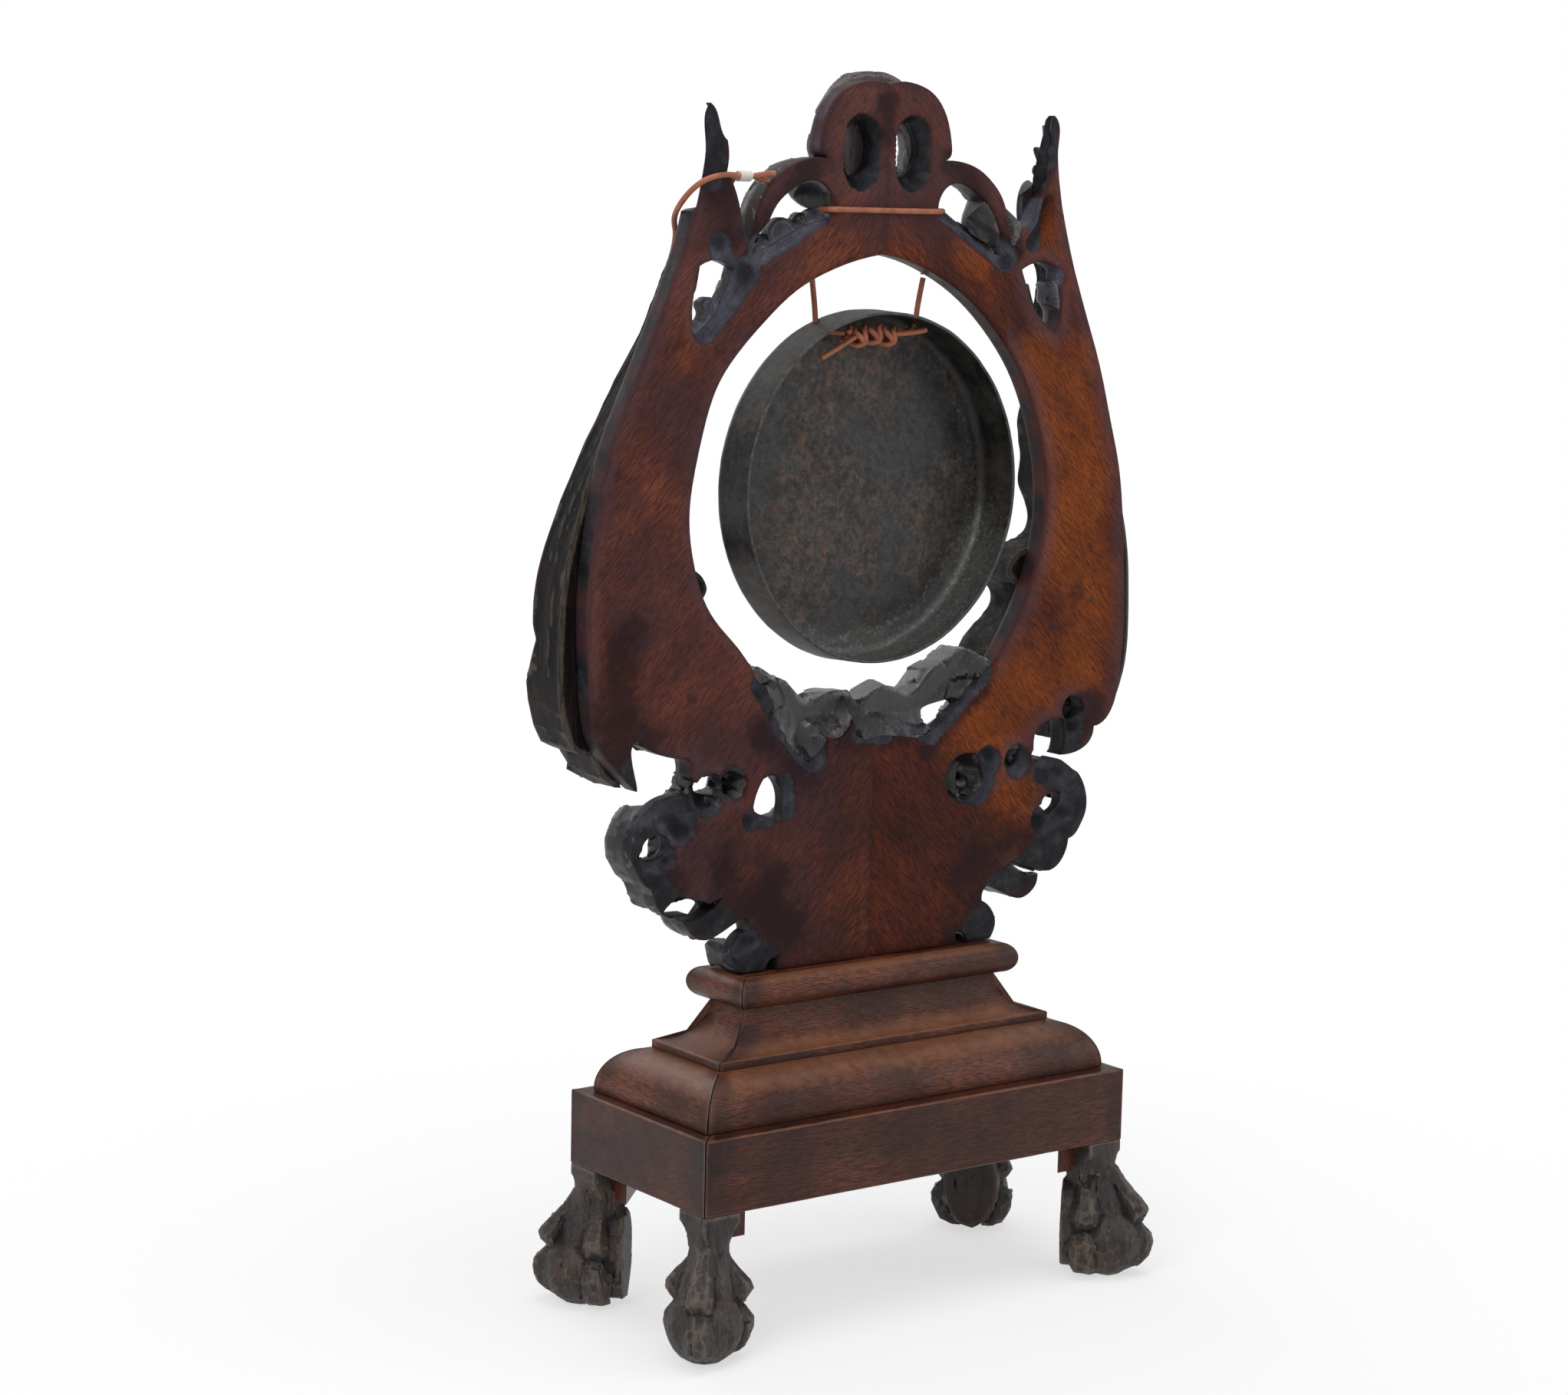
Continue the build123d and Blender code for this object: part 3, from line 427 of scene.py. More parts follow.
@dataclass(frozen=True)
class ThreadFinish:
    """Waxed thread with a fine twist."""

    name: str
    pale: str = "e4dfd6"
    deep: str = "b9b0a2"

    def make(self) -> bpy.types.Material:
        """Lay out the thread.

        Returns:
            The material.
        """
        kit = Kit.named(self.name)
        spot = kit.place()
        twist = kit.node("ShaderNodeTexWave", {"wave_type": "BANDS", "bands_direction": "DIAGONAL"},
                         {"Vector": spot, "Scale": 420.0, "Distortion": 1.5, "Detail": 2.0}, 1)
        fluff = kit.noise(spot, 2200.0, 2.0)
        colour = kit.ramp(twist * 0.6 + fluff * 0.4, [(0.25, self.deep), (0.65, self.pale)])
        return kit.close(colour, fluff * 0.2 + 0.65, kit.bump(twist, 0.0003, 0.6), 0.0,
                         {"Sheen Weight": 0.3, "Sheen Roughness": 0.5})


@dataclass(frozen=True)
class BronzeFinish:
    """Old beaten bronze under a dark skin.

    Its points carry "rim" on the rim, "ring", a painted highlight round the dish's edge on its lit side,
    "deep", a painted shade in its corner away from the light, and "lip" on the lip.
    """

    name: str
    dark: str = "1f1b19"
    body: str = "332d2a"
    grey: str = "4a4642"
    copper: str = "6a4c3a"

    def make(self) -> bpy.types.Material:
        """Lay out the metal: a mottled skin, coppery scratches, painted glints and a painted highlight on the
        ring's lit side, painted shade in its far corner and a rubbed lip.

        Returns:
            The material.
        """
        kit = Kit.named(self.name)
        spot = kit.place()
        mottle = kit.noise(spot, 42.0, 6.0, 0.74, 0.2)
        fine = kit.noise(spot, 230.0, 5.0, 0.75)
        broad = kit.noise(spot, 9.0, 3.0, 0.6)
        colour = kit.ramp(mottle * 0.45 + fine * 0.55,
                          [(0.42, self.dark), (0.50, self.body), (0.58, self.grey)])
        colour = kit.mix(colour, "2b2f31", broad.step(0.46, 0.60) * 0.65)
        scratch = kit.noise(spot, 88.0, 7.0, 0.80, 0.2)
        rub = (scratch.step(0.50, 0.60) * broad.step(0.60, 0.40)).clip()
        colour = kit.mix(colour, "0f0e0d", kit.noise(spot, 120.0, 5.0, 0.7).step(0.50, 0.62) * 0.5)
        colour = kit.mix(colour, self.copper, rub * (1.0 - kit.value("rim") * 0.9).clip() * 0.58)
        # Pale flecks: a few all over, and painted glints on the ring's lit side.
        speck = kit.noise(spot, 300.0, 3.0, 0.6)
        colour = kit.mix(colour, "8d8f8b", speck.step(0.52, 0.63) * (kit.value("ring") * 0.60 + 0.04))
        # Painted highlight on the ring's lit side.
        colour = kit.mix(colour, "5c5e5b", kit.value("ring") * 0.60)
        # Painted shade in the inside corner away from the light.
        colour = kit.mix(colour, "100f0e", kit.value("deep") * 0.85)
        colour = kit.mix(colour, "4a4946", (kit.value("rim") * (mottle * 2.2 - 0.85)).clip() * 0.8)
        colour = kit.mix(colour, "55534f", (kit.value("lip") * (fine * 2.4 - 0.9)).clip())
        rough = mottle * 0.25 + 0.36
        height = fine * 0.5 + mottle * 0.5
        return kit.close(colour, rough, kit.bump(height, 0.0006, 0.7), 0.30, {"Specular IOR Level": 0.4})


@dataclass(frozen=True)
class SteelFinish:
    """Dull drawn steel."""

    name: str

    def make(self) -> bpy.types.Material:
        """Lay out the steel.

        Returns:
            The material.
        """
        kit = Kit.named(self.name)
        scratch = kit.noise(kit.place(scale=(1.0, 1.0, 0.05)), 900.0, 3.0)
        colour = kit.ramp(scratch, [(0.3, "5b5c5e"), (0.7, "84868a")])
        return kit.close(colour, scratch * 0.2 + 0.35, kit.bump(scratch, 0.0001, 0.4), 0.9)


@dataclass(frozen=True)
class PlainWoodFinish:
    """Unstained wood inside the stand, or the beater's turned handle."""

    name: str
    grain: Grain = Grain.ALONG_X
    dark: str = "6b4a2c"
    light: str = "a07a4e"
    rough: float = 0.6

    def make(self) -> bpy.types.Material:
        """Lay out the wood.

        Returns:
            The material.
        """
        kit = Kit.named(self.name)
        fibre = kit.place(self.grain.value, (1.0, 1.0, 0.06))
        band = kit.noise(fibre, 110.0, 4.0, 0.6, 0.8)
        fine = kit.noise(fibre, 700.0, 2.0)
        colour = kit.ramp(band * 0.7 + fine * 0.3, [(0.35, self.dark), (0.62, self.light)])
        return kit.close(colour, fine * 0.2 + (self.rough - 0.1), kit.bump(fine, 0.0002, 0.4))


class Finishes:
    """Every material, made once and handed out by name."""

    def __init__(self) -> None:
        """Make the materials."""
        self.board_right = OakFinish("oak_board_right", Grain.LEANS_LEFT, dark="331911", mid="5a2c1c",
                                     light="8b4b2c", haze="40252a").make()
        self.board_left = OakFinish("oak_board_left", Grain.LEANS_RIGHT, dark="331610", mid="5c2812",
                                    light="90481c", haze_share=0.3).make()
        self.carved = CarvedFinish("oak_carved_black").make()
        self.lower = CarvedFinish("oak_carved_scrolls", "060607", "0f0e11", "27262a", "605c5a",
                                  shine=0.36).make()
        # The waves' pale ridge colour also paints their highlight on upward faces.
        self.wave = CarvedFinish("oak_carved_waves", "0b0b0d", "1c1b1f", "45444b", "a09ea8", rough=0.30,
                                 shine=0.70).make()
        self.limb = CarvedFinish("oak_carved_limb", "040404", "0e0c0c", "2b2523", "6b6055", "2a1b15",
                                 brown_share=0.50, stretch=0.045, rough=0.52, shine=0.12).make()
        # Its bluish greys paint the satin sheen of the leaves' slopes into their colour.
        self.shaved = CarvedFinish("oak_shaved_slope_sheen", "222127", "3a3942", "55545f", "7b7a80", "3c2d33",
                                   brown_share=0.30, stretch=0.5, rough=0.42, shine=0.40).make()
        self.crest = CarvedFinish("oak_carved_crest", "151213", "362c2d", "62585a", "8d857f", "4a2c22",
                                  brown_share=0.45, stretch=0.5, rough=0.40, shine=0.50).make()
        # The plinth's rubbed colour also paints the highlight on the mouldings' upward faces.
        plinth = {"dark": "32170f", "mid": "592c1c", "light": "8f5538", "haze": "2e1512", "coarse": 40.0,
                  "streak": 0.10, "rubbed": "8f6248", "rough": 0.36, "shine": 0.26, "haze_share": 0.45}
        self.plinth_x = OakFinish("oak_plinth_long", Grain.ALONG_X, **plinth).make()
        self.plinth_y = OakFinish("oak_plinth_short", Grain.ALONG_Y, **plinth).make()
        self.foot = CarvedFinish("oak_foot", "171414", "322d2b", "544c48", "7b6b5e", "4b3a30",
                                 brown_share=0.6, stretch=0.35, rough=0.55, shine=0.35).make()
        self.block = OakFinish("oak_corner_block", Grain.UPRIGHT, **plinth).make()
        self.hidden = PlainWoodFinish("pine_hidden").make()
        self.bronze = BronzeFinish("gong_bronze").make()
        self.lace = LeatherFinish("leather_lace").make()
        self.thread = ThreadFinish("whipping_thread").make()
        self.handle = PlainWoodFinish("beater_handle_wood", Grain.UPRIGHT, "4a2a18", "75482a", 0.42).make()
        self.wool = LeatherFinish("beater_cover_hide", "a58a6c", "6e543b", 0.8).make()
        self.binding = LeatherFinish("beater_binding_leather", "6b4630", "3f2719").make()
        self.steel = SteelFinish("screw_steel").make()


# ---------------------------------------------------------------- surfaces in arrays
def ease(value: np.ndarray, low: float, high: float) -> np.ndarray:
    """Rise smoothly from 0 at low to 1 at high: 3t squared less 2t cubed, t held between 0 and 1."""
    share = np.clip((value - low) / (high - low), 0.0, 1.0)
    return share * share * (3.0 - 2.0 * share)


def ripple(points: np.ndarray, size: float, seed: int, waves: int = 18) -> np.ndarray:
    """Make soft random hills.

    Formula: the sum of cosines that run in random directions, with lengths around the size.

    Args:
        points: places, one to a row.
        size: length of a hill and its hollow.
        seed: which hills.
        waves: how many cosines.

    Returns:
        Heights, mostly between -1 and 1.
    """
    rng = np.random.default_rng(seed)
    ways = rng.normal(size=(waves, points.shape[1]))
    ways /= np.linalg.norm(ways, axis=1, keepdims=True)
    ways *= (2 * math.pi / (size * rng.uniform(0.7, 1.6, waves)))[:, None]
    return np.cos(points @ ways.T + rng.uniform(0, 2 * math.pi, waves)).sum(1) / math.sqrt(waves)


def gouges(across: np.ndarray, along: np.ndarray, seed: int = 0) -> np.ndarray:
    """Make the cups that a gouge leaves.

    Formula: the squared distance to the nearest of a scattered set of points, one to each unit square.

    Args:
        across: first coordinate, in cup widths.
        along: second coordinate, in cup lengths.
        seed: which cups.

    Returns:
        0 in the middle of a cup, about 0.5 on the ridges between.
    """
    cell_a, cell_b = np.floor(across), np.floor(along)
    best = np.full(across.shape, 9.0)
    for step_a in (-1, 0, 1):
        for step_b in (-1, 0, 1):
            a, b = cell_a + step_a, cell_b + step_b
            first = np.modf(np.abs(np.sin(a * 127.1 + b * 311.7 + seed * 74.7) * 43758.5))[0]
            second = np.modf(np.abs(np.sin(a * 269.5 + b * 183.3 + seed * 21.3) * 28001.8))[0]
            best = np.minimum(best, (a + first - across) ** 2 + (b + second - along) ** 2)
    return best


@dataclass
class Skin:
    """A surface's points, its faces in groups of one length, and the values its points carry."""

    points: np.ndarray
    faces: list[np.ndarray]
    values: dict[str, np.ndarray] = field(default_factory=dict)

    def triangles(self) -> np.ndarray:
        """Split every face into triangles, as a fan from its first point."""
        parts = [group[:, [0, i, i + 1]] for group in self.faces for i in range(1, group.shape[1] - 1)]
        return np.concatenate(parts)

    def outward(self) -> "Skin":
        """Turn the faces outwards, by the sign of the volume they close."""
        a, b, c = (self.points[self.triangles()[:, i]] for i in range(3))
        if np.einsum("ij,ij->i", a, np.cross(b, c)).sum() < 0:
            self.faces = [group[:, ::-1] for group in self.faces]
        return self

    def normals(self) -> np.ndarray:
        """Give each point's normal, the sum of its triangles' normals made unit length."""
        tri = self.triangles()
        a, b, c = (self.points[tri[:, i]] for i in range(3))
        face = np.cross(b - a, c - a)
        total = np.zeros_like(self.points)
        for corner in range(3):
            np.add.at(total, tri[:, corner], face)
        return total / np.maximum(np.linalg.norm(total, axis=1, keepdims=True), 1e-12)

    def relief(self, rounds: int) -> np.ndarray:
        """Measure how far each point stands out of its neighbourhood.

        Formula: the points are averaged with their neighbours a number of rounds, and the gap between the
        point and its average, along the normal, is the relief.

        Args:
            rounds: rounds of averaging, a few for arrises and many for whole forms.

        Returns:
            Metres, positive on ridges and negative in hollows.
        """
        ends = sides_of(self.triangles())
        count = np.bincount(ends.ravel(), minlength=len(self.points))[:, None]
        smooth = self.points.copy()
        for _ in range(rounds):
            total = np.zeros_like(smooth)
            for axis in range(3):
                total[:, axis] = np.bincount(ends[:, 0], smooth[ends[:, 1], axis], len(smooth))
                total[:, axis] += np.bincount(ends[:, 1], smooth[ends[:, 0], axis], len(smooth))
            smooth = total / np.maximum(count, 1)
        return np.einsum("ij,ij->i", self.points - smooth, self.normals())


def join(skins: Sequence[Skin]) -> Skin:
    """Put several skins into one, keeping only the values that all of them carry."""
    starts = np.cumsum([0] + [len(skin.points) for skin in skins])
    faces = [group + start for skin, start in zip(skins, starts) for group in skin.faces]
    names = set.intersection(*(set(skin.values) for skin in skins))
    values = {name: np.concatenate([skin.values[name] for skin in skins]) for name in names}
    return Skin(np.concatenate([skin.points for skin in skins]), faces, values)


def closed_rows(rows: np.ndarray) -> Skin:
    """Skin a stack of closed rings and close both ends with fans.

    Formula: quads join each point to the next one round its ring and to the ring above; each end's fan
    meets at the ring's middle.

    Args:
        rows: ring, point and coordinate.

    Returns:
        The closed skin, faces outwards.
    """
    count, around, _ = rows.shape
    flat = rows.reshape(-1, 3)
    middles = np.stack([rows[0].mean(0), rows[-1].mean(0)])
    index = np.arange(len(flat)).reshape(count, around)
    beside = np.roll(index, -1, 1)
    quads = np.stack([index[:-1], beside[:-1], beside[1:], index[1:]], -1).reshape(-1, 4)
    first = np.stack([beside[0], index[0], np.full(around, len(flat))], -1)
    last = np.stack([index[-1], beside[-1], np.full(around, len(flat) + 1)], -1)
    faces = [quads, np.concatenate([first, last])]
    return Skin(np.concatenate([flat, middles]), faces).outward()


def tube(path: np.ndarray, radius: float, around: int = 12) -> Skin:
    """Carry a circle along a path.

    Formula: at each path point, a circle in the plane square to the path, its zero turned as little as
    possible by taking each point's side from one fixed direction.

    Args:
        path: the points, one to a row.
        radius: the circle's radius.
        around: points round the circle.

    Returns:
        The closed tube.
    """
    ahead = np.gradient(path, axis=0)
    ahead /= np.linalg.norm(ahead, axis=1, keepdims=True)
    fixed = np.array([0.31, 0.52, 0.80])
    side = np.cross(ahead, fixed)
    side /= np.linalg.norm(side, axis=1, keepdims=True)
    other = np.cross(ahead, side)
    turn = np.linspace(0, 2 * math.pi, around, endpoint=False)[None, :, None]
    rings = path[:, None] + radius * (np.cos(turn) * side[:, None] + np.sin(turn) * other[:, None])
    return closed_rows(rings)


def lathe(radii: np.ndarray, levels: np.ndarray, around: int = 48) -> Skin:
    """Turn a profile round the Z axis: circles of the given radii at the given levels."""
    turn = np.linspace(0, 2 * math.pi, around, endpoint=False)
    rings = np.stack([np.outer(radii, np.cos(turn)), np.outer(radii, np.sin(turn)),
                      np.repeat(levels[:, None], around, 1)], -1)
    return closed_rows(rings)


def link(name: str, data: bpy.types.ID) -> bpy.types.Object:
    """Put a new object with the given data into the scene."""
    made = bpy.data.objects.new(name, data)
    bpy.context.scene.collection.objects.link(made)
    return made


def mesh_of(name: str, points: np.ndarray, faces: Sequence[np.ndarray]) -> bpy.types.Mesh:
    """Make a mesh from points and groups of faces."""
    mesh = bpy.data.meshes.new(name)
    mesh.from_pydata(points.tolist(), [], [face for group in faces for face in group.tolist()])
    return mesh


def corners_of(mesh: bpy.types.Mesh) -> np.ndarray:
    """Read a mesh's points, one to a row."""
    points = np.empty(len(mesh.vertices) * 3)
    mesh.vertices.foreach_get("co", points)
    return points.reshape(-1, 3)


def finished(made: bpy.types.Object) -> bpy.types.Mesh:
    """Give an object's mesh with its modifiers worked in."""
    return bpy.data.meshes.new_from_object(made.evaluated_get(bpy.context.evaluated_depsgraph_get()))


def bore(made: bpy.types.Object, drills: Sequence[Skin]) -> None:
    """Cut holes through a piece with Booleans, and keep its one material.

    Args:
        made: the piece.
        drills: closed skins to take away.
    """
    material = made.data.materials[0]
    cutters = [link("drill", mesh_of("drill", drill.points, drill.faces)) for drill in drills]
    for cutter in cutters:
        cut = made.modifiers.new("hole", "BOOLEAN")
        cut.operation = "DIFFERENCE"
        cut.solver = "EXACT"
        cut.object = cutter
    whole = finished(made)
    made.modifiers.clear()
    made.data = whole
    made.data.materials.clear()
    made.data.materials.append(material)
    for cutter in cutters:
        bpy.data.objects.remove(cutter)


def mount(made: bpy.types.Object, body: str, stands_for: Sequence[str]) -> None:
    """Hide the nodes that a piece takes the place of, and hang it on the body that carries it."""
    if stands_for:
        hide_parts(*stands_for)
    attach(made, body)


def make_piece(name: str, skin: Skin, body: str, material: bpy.types.Material,
               stands_for: Sequence[str] = (), crease: float = 38.0) -> bpy.types.Object:
    """Turn a skin into a piece that rides on a body.

    Args:
        name: the piece's name.
        skin: its surface.
        body: the body that carries it.
        material: its material.
        stands_for: the plain nodes that it takes the place of.
        crease: the angle in degrees past which an edge stays sharp.

    Returns:
        The object.
    """
    mesh = mesh_of(name, skin.points, skin.faces)
    for key, values in skin.values.items():
        mesh.attributes.new(key, "FLOAT", "POINT").data.foreach_set("value", values.astype(np.float32))
    mesh.shade_smooth()
    mesh.set_sharp_from_angle(angle=math.radians(crease))
    mesh.materials.append(material)
    made = link(name, mesh)
    mount(made, body, stands_for)
    log.info("%s: %d faces", name, len(mesh.polygons))
    return made


def dress_node(node: str, material: bpy.types.Material) -> None:
    """Give a node that stays as it is its material."""
    mesh = frame["nodes"][node].data
    mesh.materials.clear()
    mesh.materials.append(material)
    log.info("%s: dressed", node)


# ---------------------------------------------------------------- studio
@dataclass
class Studio:
    """A pale seamless floor, soft lamps and the camera."""

    camera_place: Point = (1.6063, 2.0616, 0.8445)
    azimuth: float = 143.37
    elevation: float = 8.37
    roll: float = 1.243
    lens: float = 80.1
    floor_reach: float = 12.0
    lamps: tuple[tuple[str, Point, Point, float, float], ...] = (
        ("key_from_left", (2.6, 1.3, 2.3), (0.0, 0.0, 0.5), 1.5, 38.0),
        ("overhead", (-0.1, 0.2, 3.0), (0.0, 0.0, 0.3), 2.2, 42.0),
        ("fill_from_right", (-2.6, 1.9, 1.4), (0.0, 0.0, 0.5), 1.6, 17.0),
        ("front_glow", (0.2, -2.8, 1.6), (0.0, 0.0, 0.5), 1.8, 16.0))

    def build(self) -> None:
        """Make the camera, the floor and the lamps."""
        self._camera()
        self._floor()
        self._world()
        for lamp in self.lamps:
            self._lamp(*lamp)

    def _camera(self) -> None:
        """Place the camera and turn it: back along its view, then rolled about it."""
        camera = bpy.data.cameras.new("studio_camera")
        camera.sensor_width = 36.0
        camera.lens = self.lens
        camera.clip_end = 50.0
        made = link("studio_camera", camera)
        turn, tilt, roll = (math.radians(angle) for angle in (self.azimuth, self.elevation, self.roll))
        back = Vector((math.sin(turn) * math.cos(tilt), -math.cos(turn) * math.cos(tilt), math.sin(tilt)))
        right = (-back).cross(Vector((0, 0, 1))).normalized()
        up = right.cross(-back)
        rolled_right = math.cos(roll) * right + math.sin(roll) * up
        rolled_up = math.cos(roll) * up - math.sin(roll) * right
        spin = Matrix((rolled_right, rolled_up, back)).transposed()
        made.matrix_world = Matrix.Translation(self.camera_place) @ spin.to_4x4()
        bpy.context.scene.camera = made
        bpy.context.scene.view_settings.view_transform = "Standard"

    def _floor(self) -> None:
        """Lay the floor; what the camera sees of it is lifted towards white, under the object's shadow."""
        kit = Kit.named("studio_floor")
        cloud = kit.noise(kit.place(), 2.0, 2.0)
        colour = kit.ramp(cloud, [(0.2, "f2f2f2"), (0.8, "f4f4f4")])
        matt = kit.node("ShaderNodeBsdfDiffuse", {}, {"Color": colour})
        glow = kit.node("ShaderNodeEmission", {}, {"Color": "ffffff", "Strength": 1.0})
        away = kit.node("ShaderNodeVectorMath", {"operation": "LENGTH"}, {0: kit.place()}, "Value")
        kit.blend(kit.seen(1.0) * (0.62 + 0.38 * away.step(0.22, 0.85)), matt, glow)
        reach = self.floor_reach
        mesh = bpy.data.meshes.new("studio_floor")
        corners = [(-reach, -reach, 0), (reach, -reach, 0), (reach, reach, 0), (-reach, reach, 0)]
        mesh.from_pydata(corners, [], [(0, 1, 2, 3)])
        mesh.materials.append(kit.owner)
        link("studio_floor", mesh)

    def _world(self) -> None:
        """Light softly from all round, and show white behind the object."""
        kit = Kit(bpy.data.worlds.new("studio_world"))
        plain = kit.node("ShaderNodeBackground", {}, {"Color": "f4f6fa", "Strength": 0.42})
        white = kit.node("ShaderNodeBackground", {}, {"Color": "ffffff", "Strength": 1.0})
        kit.blend(kit.seen(0.35), plain, white, "World")
        bpy.context.scene.world = kit.owner

    def _lamp(self, name: str, place: Point, aim: Point, size: float, power: float) -> None:
        """Hang a soft square lamp that faces a point."""
        lamp = bpy.data.lights.new(name, "AREA")
        lamp.size = size
        lamp.energy = power
        made = link(name, lamp)
        made.location = place
        made.rotation_euler = (Vector(aim) - Vector(place)).to_track_quat("-Z", "Y").to_euler()


# ---------------------------------------------------------------- leather and thread
def lay_cord(name: str, route: Sequence[Point], material: bpy.types.Material, body: str,
             stands_for: Sequence[str] = ()) -> bpy.types.Object:
    """Lay a leather lace on one smooth curve through its route.

    Args:
        name: the piece's name.
        route: control points in millimetres.
        material: its leather.
        body: the body that carries it.
        stands_for: the plain nodes that it takes the place of.

    Returns:
        The curve's object.
    """
    curve = bpy.data.curves.new(name, "CURVE")
    curve.dimensions = "3D"
    curve.bevel_depth = LACE / 2
    curve.bevel_resolution = 5
    curve.resolution_u = 10
    curve.use_fill_caps = True
    spline = curve.splines.new("NURBS")
    spline.points.add(len(route) - 1)
    placed = np.ones((len(route), 4))
    placed[:, :3] = np.array(route) * MM
    spline.points.foreach_set("co", placed.ravel())
    spline.order_u = 3
    spline.use_endpoint_u = True
    curve.materials.append(material)
    made = link(name, curve)
    mount(made, body, stands_for)
    log.info("%s: a cord of %d points", name, len(route))
    return made


def spline_path(made: bpy.types.Object) -> np.ndarray:
    """Read the smooth line of a cord, as the points of the same curve without its thickness."""
    thin = made.copy()
    thin.data = made.data.copy()
    thin.data.bevel_depth = 0.0
    mesh = bpy.data.meshes.new_from_object(thin)
    points = corners_of(mesh)
    bpy.data.meshes.remove(mesh)
    bpy.data.curves.remove(thin.data)
    return points


def declare(cord: bpy.types.Object, start: Point) -> None:
    """Measure a cord's length along its smooth line and turn its start into metres; neither is kept.

    Args:
        cord: the piece.
        start: where it leaves what holds it, in millimetres.
    """
    length = float(np.linalg.norm(np.diff(spline_path(cord), axis=0), axis=1).sum())
    tuple(v * MM for v in start)


@dataclass
class GongPlace:
    """Where the gong hangs: its middle, and its small turn about the upright."""

    turn: float = math.radians(2.4)
    hole_inset: float = 9.5
    holes: tuple[float, float] = (47.0, -51.5)
    middle_x: float = 3.0

    def __post_init__(self) -> None:
        """Take the middle from the pan's box and the hanging line from the joint."""
        low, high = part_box("gong_pan")
        middle = (low + high) / 2
        self.rest = Vector(next(j["pos_m"] for j in frame["joints"] if j["name"] == "gong_swing"))
        self.centre = Vector((middle.x, self.rest.y, middle.z)) / MM
        self.centre.x = self.middle_x

    def spot(self, x: float, y: float, z: float) -> Point:
        """Give a point in millimetres, from one measured on the gong.

        Formula: the depth past the hole line and the place across turn together about the upright.

        Args:
            x: across, from the middle.
            y: back from the struck face.
            z: up, from the middle.

        Returns:
            The placed point.
        """
        depth = y - self.hole_inset
        return (self.centre.x + x * math.cos(self.turn) - depth * math.sin(self.turn),
                self.centre.y + x * math.sin(self.turn) + depth * math.cos(self.turn),
                self.centre.z + z)


@dataclass
class Lace:
    """The gong's lace: a loop round the crest's neck, two drops, the knot and its ends."""

    place: GongPlace
    half_width: float = 52.4
    front_y: float = -5.2
    back_y: float = 18.6
    over: float = 826.9

    def build(self, finishes: Finishes) -> None:
        self._loop(finishes)
        self._drops(finishes)
        self._knot(finishes)
        self._ends(finishes)

    def _loop(self, finishes: Finishes) -> None:
        """Lay the loop over the neck: two rises in front, one run behind."""
        x, front, back, over = self.half_width, self.front_y, self.back_y, self.over
        route = [(x, front, 779.3), (x, front, 815.0), (x, front, over), (x - 0.4, 2.0, over),
                 (x, back - 9.0, over), (x, back, over), (x - 12.0, back, over),
                 (12.0 - x, back, over - 0.5), (-x, back, over), (-x, back - 9.0, over),
                 (0.4 - x, 2.0, over), (-x, front, over), (-x, front, 815.0), (-x, front, 779.3)]
        loop = lay_cord("neck_lace", route, finishes.lace, "stand", ["lace_neck_loop"])
        declare(loop, route[0])

    def _drops(self, finishes: Finishes) -> None:
        """Hang the two drops, from the loop through the rim's holes to the knot."""
        spot = self.place.spot
        for side, name in ((1, "right"), (-1, "left")):
            top = (side * self.half_width, self.front_y, 776.9)
            hole = self.place.holes[0 if side > 0 else 1]
            route = [top, spot(hole + side * 0.6, 9.5, 133.0), spot(hole, 9.5, 123.5),
                     spot(side * 46.4, 10.0, 118.5), spot(side * 42.0, 13.5, 115.4),
                     spot(side * 28.0, 20.5, 114.9)]
            drop = lay_cord(f"drop_lace_{name}", route, finishes.lace, "gong", [f"lace_drop_{name}"])
            declare(drop, top)

    def _knot(self, finishes: Finishes) -> None:
        """Tie the knot: two strands that coil round the same line, one each way."""
        turns = np.linspace(0.0, 1.0, 27)
        for number, way, size, start in ((1, 1, 7.0, 0.4), (2, -1, 5.6, 2.1)):
            angle = way * (start + turns * 2 * math.pi * 3.6)
            along = 26.0 - 51.0 * turns + 3.0 * np.sin(angle * 2.0)
            depth = 21.5 + size * 0.8 * np.cos(angle)
            level = 112.8 + size * np.sin(angle) - 1.0 * np.sin(turns * 9.0)
            route = [self.place.spot(*point) for point in zip(along, depth, level)]
            lay_cord(f"knot_strand_{number}", route, finishes.lace, "gong",
                     ["lace_knot"] if number == 1 else [])

    def _ends(self, finishes: Finishes) -> None:
        """Let the knot's two ends hang: the long one down to one side, the short one out to the other."""
        spot = self.place.spot
        long_route = [spot(16.8, 22.5, 112.9), spot(26.0, 26.0, 110.5), spot(38.0, 28.0, 105.0),
                      spot(57.1, 29.5, 96.9)]
        short_route = [spot(-14.0, 24.5, 113.9), spot(-30.0, 28.5, 113.9), spot(-44.0, 29.5, 116.9)]
        long_end = lay_cord("knot_end_long", long_route, finishes.lace, "gong", ["lace_ends"])
        lay_cord("knot_end_short", short_route, finishes.lace, "gong")
        declare(long_end, long_route[0])


